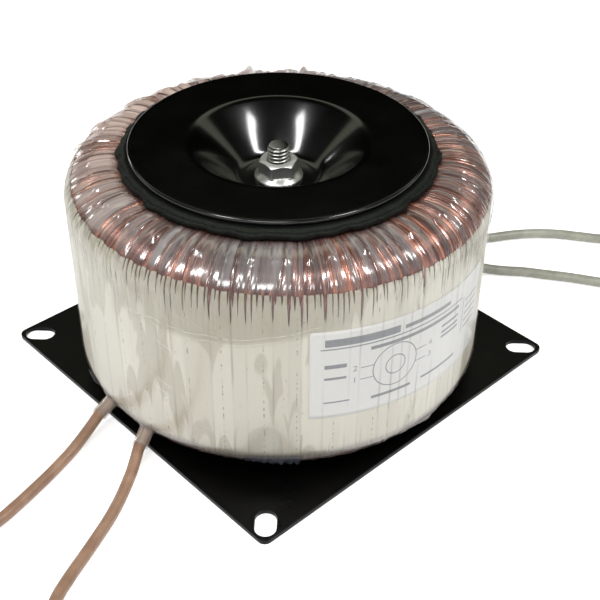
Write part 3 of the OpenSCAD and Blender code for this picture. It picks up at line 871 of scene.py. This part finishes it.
def add_film():
    """Film over the whole wrap: folds, pleats and lumps in its shape, haze and creases for its material."""
    outline = section(WRAP_R - FILM_SINK, BORE_R + FILM_SINK, WRAP_LOW + FILM_SINK, WRAP_TOP - FILM_SINK,
                      BASE_ROUND, SHOULDER, BORE_ROUND, parts=(8, 14, 20, 3, 2, 0, 2, 2))
    angles = around(FILM_STEPS)
    turned = angles[:, None]
    r, z, out, up = outline.T
    shoulder_low = WRAP_TOP - FILM_SINK - SHOULDER[1]
    outside = r > PAD_R
    on_top = outside & (z > shoulder_low + 0.01 * MM)
    on_wall = outside & (z > WRAP_LOW + BASE_ROUND) & ~on_top
    on_base = outside & (z <= WRAP_LOW + BASE_ROUND) & (out > 0.05)
    climb = np.where(on_top, np.degrees(np.arctan2(up, out)), 0)
    bulge = np.where(on_top, np.sin(np.radians(np.clip(2 * climb, 0, 180))), 0)
    wall_drop = np.where(on_wall, shoulder_low - z, 0)

    # Fold and fine fold of each point, how far across it lies, and the edge that is nearer
    lean = 0.05 * ripple(angles, (2, 5, 9), 5)
    skewed = turned + lean[:, None] * (climb / 90)
    k, u = cell_of(skewed, FOLD_EDGES)
    kf, uf = cell_of(skewed, FINE_EDGES)
    off_edge = np.minimum(u, 1 - u) * FOLD_WIDTHS[k]
    off_fine = np.minimum(uf, 1 - uf) * FINE_WIDTHS[kf]
    edge = np.where(u < 0.5, k, (k + 1) % FOLDS)
    fine_edge = np.where(uf < 0.5, kf, (kf + 1) % FINE_FOLDS)

    # Folds pillow over the shoulder and die out down the wall; fine folds pleat its edge and the foot
    fold_share = np.where(on_top, 0.25 + 0.75 * bulge, 0)
    fold_share = np.where(on_wall, 0.1 + 0.15 * unit(1 - wall_drop / FOLD_RUN), fold_share)
    fine_share = np.where(on_top, unit(1 - climb / 60), 0)
    fine_share = np.where(on_wall, unit(1 - wall_drop / PLEAT_RUN), fine_share)
    base_share = np.where(on_base, unit(-2 * out * up), 0)
    pillow = (1 - np.abs(2 * u - 1) ** 2.5) * (0.75 + 0.25 * FOLD_SIDES[k] * (2 * u - 1))
    pleat = np.sin(pi * uf) * FINE_HEIGHTS[kf]
    lift = FOLD_HEIGHTS[k] * pillow * fold_share + pleat * (fine_share + 1.1 * base_share)

    # Slack film on wall and shoulder, crumpled beside the pad, loose at the back and grooved at major folds
    slack = ripple(turned, (4, 9, 17, 31), 8, z, (8, -14, 20, 28))
    lift += SLACK * slack * (on_wall | on_top)
    crumple = ripple(turned, (29, 47, 71, 113), 9)
    lift += CRUMPLE * (1 + np.clip(crumple, -0.6, 1.6)) * (on_top & (climb > CRUMPLED_FROM))
    pale = unit(np.cos(angles - PALE_AT))
    loose = ripple(angles, (19, 26, 35), 16) * pale
    lift += LOOSE * loose[:, None] * bulge
    groove = unit(1 - off_edge / GROOVE_W) * np.where(on_top, unit((78 - climb) / 25), 0)
    lift -= GROOVE * groove * FOLD_MAJOR[edge]
    for turn, height, wide, tall, rise in FILM_BUMPS:
        aside = angle_from(angles, radians(turn)) * WRAP_R
        level = bell(z - height * MM, tall * MM) * outside
        lift += rise * MM * bell(aside, wide * MM)[:, None] * level

    # Haze fills each fold up to a clear gap at its edges; where the film is ribbed it varies by fine fold
    gap = unit(off_edge / FOLD_GAPS[edge])
    calm = calmness(angles)
    least = 0.12 + 0.45 * calm[:, None]
    haze = FOLD_HAZE[k] * (least + (1 - least) * gap) * np.clip(0.55 + climb / 90, 0, 1.2)
    haze = np.where(on_top, haze, 0.04)
    ribbed = unit(1.2 * np.cos(angles - RIBBED_AT))[:, None]
    haze *= 1 + ribbed * (FINE_HAZE[kf] - 1)
    haze = np.where(on_base, 0.2, haze)

    # Dark creases: the film's seams run down the wall and its folds up from the foot; in the grooves, in a
    # comb over the band's notches at both sides and over the pleated foot they are painted shade
    fade = 0.5 + 0.5 * ripple(turned, (11, 23, 5), 14, z, (21, -17, 33))
    line = bell(off_edge, LINE_W) * 0.75 * FOLD_LINES[edge]
    crease = np.where(on_wall, line * np.clip(fade, 0.15, 1), 0)
    crease = np.where(on_top, groove * np.where(FOLD_MAJOR[edge], 0.5, 0.1) * (climb > 20), crease)
    foot = bell(off_fine, FOOT_W) * unit(1 - (z - FOOT_FROM) / FOOT_LENGTHS[fine_edge])
    side = unit(1.6 * np.abs(np.cos(turned)) - 0.6)
    comb = bell(off_fine, COMB_W) * unit(1.3 - wall_drop / FINE_LENGTHS[fine_edge])
    for mark in (0.6 * foot, 0.75 * side * comb):
        crease = np.maximum(crease, np.where(on_wall, mark, 0))
    # Painted shade over the pleated foot, next to the plate
    pleated = base_share * (0.25 + 0.6 * np.abs(np.sin(pi * uf)))
    crease = np.where(on_base, np.clip(pleated, 0.5 * foot, 1), crease)

    piece = add_ring("film_wrap", swept(outline, angles, lift), FILM, ["outer_film"])
    rise = np.where(on_top, unit((climb - 25) / 35), 0.5)
    layers = {"haze": haze, "crease": crease, "rise": rise, "pale": pale[:, None], "calm": calm[:, None]}
    for name, values in layers.items():
        float_layer(piece, name, np.broadcast_to(values, lift.shape))


def add_film_tails():
    """Loose ends of the film's strips that hang from the foot of the wall."""
    cols, rows = 6, 10
    root, arm = radians(-12), BASE_ROUND + 0.9 * MM
    top_r = WRAP_R - FILM_SINK - BASE_ROUND + arm * cos(root)
    top_z = WRAP_LOW + FILM_SINK + BASE_ROUND + arm * sin(root)
    fold, belly, fray, thick = 0.25 * MM, 0.5 * MM, 0.6 * MM, 0.15 * MM
    verts, faces = [], []
    for start, span, low, inset in FILM_TAILS:
        first = len(verts)
        for behind in (0.0, thick):
            for i in range(cols + 1):
                a = radians(start + span * i / cols)
                sway = fold * sin(2.3 * i + start)
                hang = WRAP_LOW + low * MM - top_z + fray * sin(1.7 * i + start)
                for j in range(rows + 1):
                    t = j / rows
                    r = top_r - inset * MM * t + (sway + belly * sin(pi * t)) * t - behind
                    verts.append(spot(r, a, top_z + hang * t))
        faces += closed_sheet(cols + 1, rows + 1, first)
    add_piece("film_tails", verts, faces, TAIL)


# Band

BAND_STEPS = 2880
BAND_T = 0.45 * MM
BAND_LOW = WRAP_LOW + 2.2 * MM
# How far the band's section lies inside the wrap's, below and above
BAND_INSET = (0.7 * MM, 0.72 * MM)
# Height of the scallops and of the waves along the upper edge
SCALLOP, EDGE_WAVE = 0.5 * MM, 0.12 * MM
BAND_SEED = 33
# Rows of points up from the lower edge and down from the upper one
BAND_FOOT = np.array([0, 1.2, 2.8, 5, 7.5, 10]) * MM
BAND_CREST = np.linspace(8, 0, 10) * MM
# Least and largest width of a notch at a fine fold, and length and width at a major one, in millimetres
FINE_NOTCH = (0.42, 0.7)
MAJOR_LENGTH, MAJOR_NOTCH = (8, 13), (0.8, 1.2)


def add_band():
    """Band that follows the wrap's section, scalloped and notched along its upper edge."""
    outer = radii("outer_band")[1]
    parts = (8, 13, 22, 1, 1, 1, 1, 1)
    rising = section(outer, BORE_R, WRAP_LOW + BAND_INSET[0], WRAP_TOP - BAND_INSET[1], base=9.5 * MM,
                     shoulder=(15.85 * MM, 11.05 * MM), bore=BORE_ROUND, parts=parts)[:sum(parts[:3]) + 2]
    angles = around(BAND_STEPS)
    draw = np.random.default_rng(BAND_SEED)
    k, u = cell_of(angles, FOLD_EDGES)
    scallop = SCALLOP * (4 * u * (1 - u)) * (FOLD_HEIGHTS[k] / FOLD_HEIGHTS.max())
    top = BAND_TOP - BAND_TILT * np.cos(angles) - scallop
    top += EDGE_WAVE * ripple(angles, (37, 61, 97), 4)
    notches = [(a, length, draw.uniform(*FINE_NOTCH) * MM) for a, length in zip(FINE_EDGES, FINE_LENGTHS)]
    notches += [(a, draw.uniform(*MAJOR_LENGTH) * MM, draw.uniform(*MAJOR_NOTCH) * MM)
                for a in FOLD_EDGES[FOLD_MAJOR]]
    cut = top.copy()
    for a, length, width in notches:
        off = np.abs(angle_from(angles, a)) * outer
        cut = np.minimum(cut, top - length * unit(1 - (off / (width / 2)) ** 2))
    z = np.hstack([np.tile(BAND_LOW + BAND_FOOT, (BAND_STEPS, 1)), cut[:, None] - BAND_CREST])
    r = np.interp(z, rising[:, 1], rising[:, 0])
    loop = polar(np.hstack([r, (r - BAND_T)[:, ::-1]]), angles[:, None], np.hstack([z, z[:, ::-1]]))
    piece = add_ring("band_sheet", loop, BAND, ["outer_band"])
    rows = loop.shape[1]
    float_layer(piece, "strip", np.repeat(FOLD_TONES[k], rows))
    float_layer(piece, "aside", np.repeat(np.abs(2 * u - 1), rows))


# Label

LABEL_START = radians(-80)
LABEL_LOW = heights("label")[0]
LABEL_W, LABEL_T = 80 * MM, 0.15 * MM
LABEL_H = heights("label")[1] - LABEL_LOW
# Radius of the label's corners, in millimetres
LABEL_CORNER = 0.4
# How far the label falls to the right, per millimetre of its width
LABEL_FALL = 0.045
INK_T = 0.02 * MM


def on_label(u, v, over=0.0):
    """A point of the label, u from its left edge and v from its lower edge, in millimetres."""
    z = LABEL_LOW + (v - LABEL_FALL * u) * MM
    return spot(LABEL_R + over, LABEL_START + u * MM / LABEL_R, z)


def add_label():
    """Paper label round the wall, with rounded corners."""
    cols, rows = 90, 24
    width, height = LABEL_W / MM, LABEL_H / MM
    verts = []
    for over in (0.0, -LABEL_T):
        for i in range(cols + 1):
            u = width * i / cols
            short = max(0.0, LABEL_CORNER - min(u, width - u))
            inset = LABEL_CORNER - sqrt(max(0.0, LABEL_CORNER ** 2 - short ** 2))
            for j in range(rows + 1):
                verts.append(on_label(u, inset + (height - 2 * inset) * j / rows, over))
    add_piece("label_sheet", verts, closed_sheet(cols + 1, rows + 1), PAPER, ["label"])


class Print:
    """Flat shapes in label millimetres, kept as polygons."""

    def __init__(self):
        self.verts, self.faces = [], []

    def strip(self, corners):
        """A four-sided field, cut into short lengths so that it follows the round wall."""
        a, b, c, d = [Vector(p) for p in corners]
        parts = max(1, ceil((b - a).length / 2))
        self.faces += lattice(parts + 1, 2, False, False, len(self.verts))
        for i in range(parts + 1):
            self.verts += [a.lerp(b, i / parts), d.lerp(c, i / parts)]

    def field(self, u0, v0, u1, v1):
        """An upright field between two corners."""
        self.strip([(u0, v0), (u1, v0), (u1, v1), (u0, v1)])

    def line(self, p, q, width):
        """A straight line."""
        p, q = Vector(p), Vector(q)
        side = (q - p).orthogonal().normalized() * width / 2
        self.strip([p - side, q - side, q + side, p + side])

    def circle(self, u, v, r, width, steps=48):
        """A ring line."""
        ring = lattice(steps, 2, True, False, len(self.verts))
        self.faces += [[a, d, c, b] for a, b, c, d in ring]
        for a in around(steps):
            for reach in (r - width / 2, r + width / 2):
                self.verts.append(Vector((u + reach * cos(a), v + reach * sin(a))))

    def digit(self, text, u, v, size):
        """A character in Blender's own font."""
        font = bpy.data.curves.new("digit", "FONT")
        font.body = text
        font.size = size
        font.align_x = font.align_y = "CENTER"
        font.resolution_u = 4
        shape = bpy.data.objects.new("digit", font)
        mesh = shape.to_mesh()
        start = len(self.verts)
        self.verts += [Vector((p.co.x + u, p.co.y + v)) for p in mesh.vertices]
        self.faces += [[start + i for i in f.vertices] for f in mesh.polygons]
        shape.to_mesh_clear()
        bpy.data.objects.remove(shape)
        bpy.data.curves.remove(font)


# Bars and rules of the print: left, low, right and high in label millimetres
HEADING_FIELDS = [(5, 30.6, 32, 33.6), (34, 31.2, 56, 32.8), (3.6, 29.3, 64, 29.8), (21, 26.6, 62, 28.0)]
TEXT_FIELDS = [(5, 21.4, 12.6, 23.0), (5, 16.6, 12.6, 17.6)]
TEXT_FIELDS += [(52, v, 62, v + 1.0) for v in (23.2, 20.6, 18.6)]
TEXT_FIELDS += [(67, v, 77, v + 0.5) for v in (26.5, 23.5, 20.5, 17.5, 14.5)]
TEXT_FIELDS += [(65.4, 13, 65.8, 29), (22, 5.0, 38, 6.2), (43, 5.4, 62, 6.4), (5, 6.4, 14, 7.0)]
# Ring diagram: its middle, its two radii, and how far out its lines and digits reach
RING_U, RING_V = 31, 17.4
RING_RADII = (8.8, 3.9)
LINE_FROM, LINE_TO, DIGIT_AT, DIGIT_SIZE = 8.4, 13.4, 15.4, 3.4


def add_label_print():
    """Plain print: a heading bar, rules and a ring diagram with its four numbered ends."""
    ink = Print()
    for corners in HEADING_FIELDS:
        ink.field(*corners)
    for r in RING_RADII:
        ink.circle(RING_U, RING_V, r, 0.4)
    for side in (-1, 1):
        for row, digits in ((1, "24"), (-1, "13")):
            v = RING_V + 2.5 * row
            ink.line((RING_U + side * LINE_FROM, v), (RING_U + side * LINE_TO, v), 0.35)
            ink.digit(digits[(side + 1) // 2], RING_U + side * DIGIT_AT, v, DIGIT_SIZE)
    for corners in TEXT_FIELDS:
        ink.field(*corners)
    verts = [on_label(p.x, p.y, INK_T) for p in ink.verts]
    add_piece("label_print", verts, ink.faces, INK, smooth=False)


# Clamp: pad, washer, nut and stud

PAD_STEPS = 720
# The pad's edge stands back a little, waves, is grained and droops
PAD_BACK, PAD_WAVE, PAD_GRAIN, PAD_DROOP = 0.7 * MM, 0.6 * MM, 0.18 * MM, 0.4 * MM
# The pad's edge: inset and height in millimetres
PAD_EDGE = [(1, 0), (0.2, 0.2), (0, 0.8), (0.1, 1.4), (0.6, 1.9)]
# Its step up to the washer: distance from the washer in millimetres and share of the thickness
PAD_STEP = [(2.6, 0.72), (1.9, 0.8), (1.4, 0.95), (0.8, 1.0), (0, 1.0)]
DISH_FOOT_R = 15 * MM
DISH_MOUTH_R = BORE_R + 5 * MM
# How far the pressed wall of the dish swells out over a true cone
DISH_SWELL = 0.7 * MM


def add_upper_pad():
    """Rubber ring under the washer; its free edge waves and droops, and its top carries painted sheen."""
    low, high = heights("upper_pad")
    hole = radii("upper_pad")[0]
    edge = PAD_R - PAD_BACK
    thick = high - low
    outline = [(hole, low)] + [(edge - inset * MM, low + up * MM) for inset, up in PAD_EDGE]
    outline += [(edge - 1.3 * MM, low + thick * 0.7)]
    outline += [(WASHER_R + off * MM, low + thick * share) for off, share in PAD_STEP]
    r, z = np.array(outline + [(hole, high)]).T
    upper_face = (z > low + 1.8 * MM) & (r > WASHER_R + 1 * MM)
    angles = around(PAD_STEPS)
    wave = PAD_WAVE * ripple(angles, (9, 14, 19, 27, 38), 12)
    fine = PAD_GRAIN * ripple(angles[:, None], (41, 67, 89, 131), 15, z, (90, -140, 200, 60))
    droop = PAD_DROOP * ripple(angles, (7, 11, 17, 29), 13)
    free = unit((r - WASHER_R - 0.5 * MM) / (3 * MM))
    waved = r + (np.clip(wave, -1.6 * MM, 0.8 * MM)[:, None] + np.minimum(fine, 0.1 * MM)) * free
    sunk = z + (np.clip(droop, -PAD_DROOP, 0.3 * MM)[:, None] + fine) * free * unit((z - low) / thick)
    points = polar(waved, angles[:, None], np.minimum(sunk, high))
    piece = add_ring("pad_upper", points, RUBBER, ["upper_pad"])
    # Marks the upper face that carries the painted sheen
    float_layer(piece, "sheen_mask", np.tile(upper_face, PAD_STEPS))


def add_washer():
    """Pressed sheet: flat rim, coned wall down into the bore and flat floor under the nut."""
    low, floor = WASHER_TOP - SHEET_T, NUT_SEAT - SHEET_T
    slope = atan2(WASHER_TOP - NUT_SEAT, DISH_MOUTH_R - DISH_FOOT_R)
    inset = SHEET_T * tan(slope / 2)
    corners = [(WASHER_HOLE, floor), (DISH_FOOT_R + inset, floor), (DISH_MOUTH_R + inset, low),
               (WASHER_R, low), (WASHER_R, WASHER_TOP), (DISH_MOUTH_R, WASHER_TOP),
               (DISH_FOOT_R, NUT_SEAT), (WASHER_HOLE, NUT_SEAT)]
    roundings = [0, 8 * MM, 2 * MM, 0.8 * MM, 0.8 * MM, 4 * MM, 6 * MM, 0]
    r, z = np.array(short_steps(rounded_outline(corners, roundings), 1 * MM)).T
    t = unit((r - DISH_FOOT_R) / (DISH_MOUTH_R - DISH_FOOT_R))
    points = polar(r, around(256)[:, None], z + 4 * DISH_SWELL * t * (1 - t))
    add_ring("washer_dished", points, PAINT, ["dished_washer"])


def add_nut():
    """Hex nut with chamfered corners on a coned flange, matt on top."""
    flat, flange_r, hole = 6.5 * MM, 8.8 * MM, 4.05 * MM
    corner_at, break_w, matt_rows = 12, 0.3 * MM, 3
    angles = around(144)
    turned = (np.degrees(angles) - corner_at) % 60 - 30
    hexagon = np.minimum(flat / np.cos(np.radians(turned)), flat * 1.13)
    neck = flat * 1.15
    cone = NUT_SEAT + 2.2 * MM
    chamfer = NUT_TOP - np.clip(hexagon - flat * 0.98, 0, None) * 0.6
    rows = [(hole, NUT_SEAT), (flange_r - break_w, NUT_SEAT), (flange_r, NUT_SEAT + break_w),
            (flange_r, NUT_SEAT + 0.9 * MM), (flange_r - break_w, NUT_SEAT + 1.2 * MM),
            (neck, NUT_SEAT + 1.9 * MM), (np.minimum(hexagon + 0.35 * MM, neck), cone),
            (hexagon, cone + 0.4 * MM),
            (hexagon, chamfer - 0.15 * MM), (hexagon - 0.12 * MM, chamfer), (flat * 0.95, NUT_TOP),
            (hole + 0.5 * MM, NUT_TOP), (hole, NUT_TOP - 0.5 * MM)]
    points = np.stack([polar(r, angles, z) for r, z in rows], 1)
    piece = add_ring("nut_flange", points, ZINC, ["flange_nut"])
    sharpen(piece, 28)
    float_layer(piece, "matt", np.tile(np.arange(len(rows)) >= len(rows) - matt_rows, len(angles)))


def add_stud():
    """Threaded stud: one helical ridge along a rod, with its flush head in the plate."""
    low, top = SHEET_T, heights("centre_stud")[1]
    pitch, crest, root = 1.41 * MM, 4.0 * MM, 3.2 * MM
    chamfer_h, head_break = 0.9 * MM, 0.2 * MM
    sides, per_pitch = 48, 10
    rings = int((top - low) / pitch * per_pitch) + 1
    turns = around(sides)
    verts, groove = [], []
    for i in range(rings):
        z = low + (top - low) * i / (rings - 1)
        chamfer = max(0.0, z - (top - chamfer_h)) * 0.9
        run_in = min(1.0, (z - low) / (2 * pitch))
        for j, a in enumerate(turns):
            phase = (z / pitch - j / sides) % 1
            ridge = unit(1.25 - abs(2 * phase - 1) * 1.5)
            r = min(root + (crest - root) * max(ridge, 1 - run_in), crest - chamfer)
            groove.append(min(1 - ridge, run_in))
            verts.append(spot(r, a, z))
    faces = lattice(rings, sides, False, True)
    faces.append([(rings - 1) * sides + j for j in range(sides)])
    base = len(verts)
    for r, z in ((STUD_HEAD_R, low), (STUD_HEAD_R, head_break), (STUD_HEAD_R - head_break, 0.0)):
        verts += [spot(r, a, z) for a in turns]
    faces += [[d, a, b, c] for a, b, c, d in lattice(3, sides, False, True, base)]
    for j in range(sides):
        after = (j + 1) % sides
        faces.append([base + after, base + j, j, after])
    faces.append([base + 2 * sides + j for j in reversed(range(sides))])
    piece = add_piece("stud_threaded", verts, faces, ZINC, ["centre_stud"])
    sharpen(piece, 40)
    # Share of painted shade for each point, deepest in the thread's grooves
    float_layer(piece, "groove", groove + [0] * (len(verts) - len(groove)))


# Plate

PLATE_CORNER = 3 * MM
PLATE_BREAK = 0.25 * MM
SLOT_AT, SLOT_W, SLOT_LEN = 97.066 * MM, 7.5 * MM, 11.6 * MM
HEAD_GAP = 0.1 * MM


def slot_ring(turn):
    """Outline of a corner's slot, at a turn of the plate."""
    half, r, steps = (SLOT_LEN - SLOT_W) / 2, SLOT_W / 2, 16
    ring = []
    for end in (1, -1):
        for i in range(steps + 1):
            a = pi * (i / steps - 0.5)
            ring.append(Vector((SLOT_AT + end * (half + r * cos(a)), end * r * sin(a))))
    return [tuple(Matrix.Rotation(turn, 2) @ p) for p in ring]


def add_plate():
    """Square sheet with rounded corners, four slots and the stud's hole, its edges slightly broken."""
    top = heights("mounting_plate")[1]
    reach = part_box("mounting_plate")[1].x + (sqrt(2) - 1) * PLATE_CORNER
    corners = [(reach * cos(a), reach * sin(a)) for a in around(4)]
    head = STUD_HEAD_R + HEAD_GAP
    rings = [rounded_outline(corners, [PLATE_CORNER] * 4)]
    rings += [slot_ring(turn) for turn in around(4)]
    rings.append([(head * cos(a), head * sin(a)) for a in around(64)])
    curve = bpy.data.curves.new("plate_outline", "CURVE")
    curve.dimensions = "2D"
    curve.fill_mode = "BOTH"
    curve.extrude = top / 2 - PLATE_BREAK
    curve.bevel_depth = PLATE_BREAK
    curve.bevel_resolution = 2
    curve.offset = -PLATE_BREAK
    for ring in rings:
        spline = curve.splines.new("POLY")
        spline.points.add(len(ring) - 1)
        for point, (x, y) in zip(spline.points, ring):
            point.co = (x, y, 0, 1)
        spline.use_cyclic_u = True
    scratch = bpy.data.objects.new("plate_outline", curve)
    mesh = bpy.data.meshes.new_from_object(scratch)
    bpy.data.objects.remove(scratch)
    mesh.transform(Matrix.Translation((0, 0, top / 2)))
    piece = dress(bpy.data.objects.new("plate_sheet", mesh), PLATE_PAINT, ["mounting_plate"])
    sharpen(piece, 35)


# Stage and light

FLOOR_HALF = 6
# What the floor adds to the light that falls on it, for the camera and mirrors
FLOOR_GLOW = 0.6
LAMP_DISTANCE = 1.2
LAMP_TARGET = Vector((0, 0, 0.05))
# Turn and height over the horizon in degrees, width and tallness in metres, watts
SOFTBOXES = {"front_softbox": (-6, 53, 0.45, 0.26, 4.0), "left_softbox": (-56, 61, 0.15, 0.36, 5.2),
             "right_softbox": (73, 58, 0.15, 0.36, 5.2), "back_softbox": (-130, 15, 0.1, 0.2, 0.55)}


def add_stage():
    """White floor that keeps the shadow; for what the camera and mirrors see, it glows a little as well."""
    mesh = bpy.data.meshes.new("floor")
    corners = [(x * FLOOR_HALF, y * FLOOR_HALF, 0) for x, y in ((-1, -1), (1, -1), (1, 1), (-1, 1))]
    mesh.from_pydata(corners, [], [(0, 1, 2, 3)])
    floor = bpy.data.objects.new("floor", mesh)
    s = Shader("floor_white", roughness=0.9, Specular_IOR_Level=0.0, Emission_Color=WHITE)
    s.paint(s.noise(s.place(), 0.01), (247, 247, 247), (250, 250, 250))
    path = s.add("LightPath", {}, out=None)
    seen = s.plus(path["Is Camera Ray"], path["Is Glossy Ray"], clamp=True)
    seen = s.plus(seen, path["Is Transmission Ray"], clamp=True)
    s.set("Emission Strength", s.times(seen, FLOOR_GLOW))
    floor.data.materials.append(s.material)
    link(floor)


def add_softbox(name, turn, height, width, tall, watts):
    """A rectangular lamp that faces the object and that the camera doesn't see."""
    lamp = bpy.data.lights.new(name, "AREA")
    lamp.shape = "RECTANGLE"
    lamp.size, lamp.size_y = width, tall
    lamp.energy = watts
    box = bpy.data.objects.new(name, lamp)
    box.visible_camera = False
    away = heading(turn, height)
    box.matrix_world = along_axis(LAMP_TARGET + away * LAMP_DISTANCE, away)
    link(box)


def add_world():
    """Soft room light: bright on the photograph's side, dark behind and above.

    A level bar behind, a little olive, shows in the dish and in the plate's left corner."""
    world = bpy.data.worlds.new("room")
    world.use_nodes = True
    w = Nodes(world.node_tree)
    _, back, up = w.split(w.add("TexCoord", {}, out="Generated"))
    front = w.fit(back, -0.5, 0.35, 0.68, 0.0)
    low = w.fit(up, 0.45, 0.8, 1.0, 0.08)
    climb = w.math("DIVIDE", up, w.fit(back, 0.02, 1.0, 0.02, 1.0))
    level = w.times(w.fit(climb, 0.78, 0.86), w.fit(climb, 1.3, 1.5, 1.0, 0.0))
    bar = w.times(level, w.fit(back, 0.02, 0.1, 0.0, 0.9))
    background = w.tree.nodes["Background"].inputs
    w.put(background["Strength"], w.math("MAXIMUM", w.times(front, low), bar))
    w.put(background["Color"], w.mix(bar, (250, 250, 252), (240, 244, 214)))
    bpy.context.scene.world = world


# The scene

bpy.context.scene.view_settings.view_transform = "Standard"

PAINT = black_paint("black_paint", specks=0.2, rough=0.24,
                    Coat_Weight=1.0, Coat_Roughness=0.12, Specular_IOR_Level=0.15)
PLATE_PAINT = black_paint("plate_paint", specks=0.235, rough=0.3, Specular_IOR_Level=0.15)
ZINC = zinc("zinc_plate")
RUBBER = rubber("rubber")
COPPER = copper("enamelled_copper")
BAND = band_sheet("cream_band")
FILM = clear_film("clear_film")
TAIL = clear_plastic("film_tail", (66, 70, 80), (128, 132, 142), grain=(0.5, 3.0),
                     alpha=(*NOISE_SPAN, 0.3, 0.7), rough=(0.3, 0.5), gloss=0.2, relief=(0.3, 0.4))
PAPER = clouded("label_paper", (210, 209, 205), (223, 222, 218), grain=(1.6, 4.0), relief=(0.08, 0.1))
INK = clouded("label_ink", (92, 94, 98), (142, 144, 148), grain=(2.5, 3.0), roughness=0.55)
SLEEVE = clear_plastic("clear_sleeve", (190, 170, 154), (218, 204, 192), grain=(0.16, 2.0),
                       alpha=(0.35, 0.65, 0.2, 0.36), rough=(0.2, 0.35), gloss=0.15, relief=(0.08, 0.5))
TINNED = clouded("tinned_copper", (170, 168, 162), (216, 214, 208), grain=(2.0, 3.0), rough=(0.25, 0.42),
                 metallic=1.0)
BROWN = lead_skin("brown_lead", (140, 107, 85), (164, 131, 107))
GREY = lead_skin("grey_lead", (144, 144, 130), (174, 174, 160))
CORE_STEEL = clouded("core_steel", (96, 98, 102), (150, 152, 156), grain=(0.15, 3.0), rough=(0.3, 0.5),
                     metallic=1.0)
INNER_COPPER = clouded("inner_copper", (130, 66, 40), (200, 122, 84), grain=(1.0, 1.0), wound=(1.5, 0.02),
                       rough=(0.25, 0.4), metallic=0.9)
CORE_TAPE, BARRIER_TAPE = [
    clouded(name, (196, 180, 130), (226, 212, 164), grain=(1.0, 2.0), wound=(0.12, 0.01), relief=(0.2, 0.3),
            roughness=0.4) for name in ("core_wrap_tape", "barrier_tape")]

add_camera()
for lead in LEADS:
    skin, slot_name = (BROWN, "brown_lead") if lead.startswith("primary") else (GREY, "grey_lead")
    add_lead(lead, skin)
    add_sleeve(lead.replace("lead", "sleeve"), lead_route(lead))
add_strands()
add_film()
add_film_tails()
add_band()
add_label()
add_label_print()
add_upper_pad()
add_washer()
add_nut()
add_stud()
add_plate()

# Hidden parts stay the CAD solids
for node, material in {"core": CORE_STEEL, "core_wrap": CORE_TAPE, "primary_winding": INNER_COPPER,
                       "barrier_wrap": BARRIER_TAPE, "lower_pad": RUBBER}.items():
    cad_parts[node].data.materials.clear()
    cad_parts[node].data.materials.append(material)

add_stage()
add_world()
for lamp_name, values in SOFTBOXES.items():
    add_softbox(lamp_name, *values)
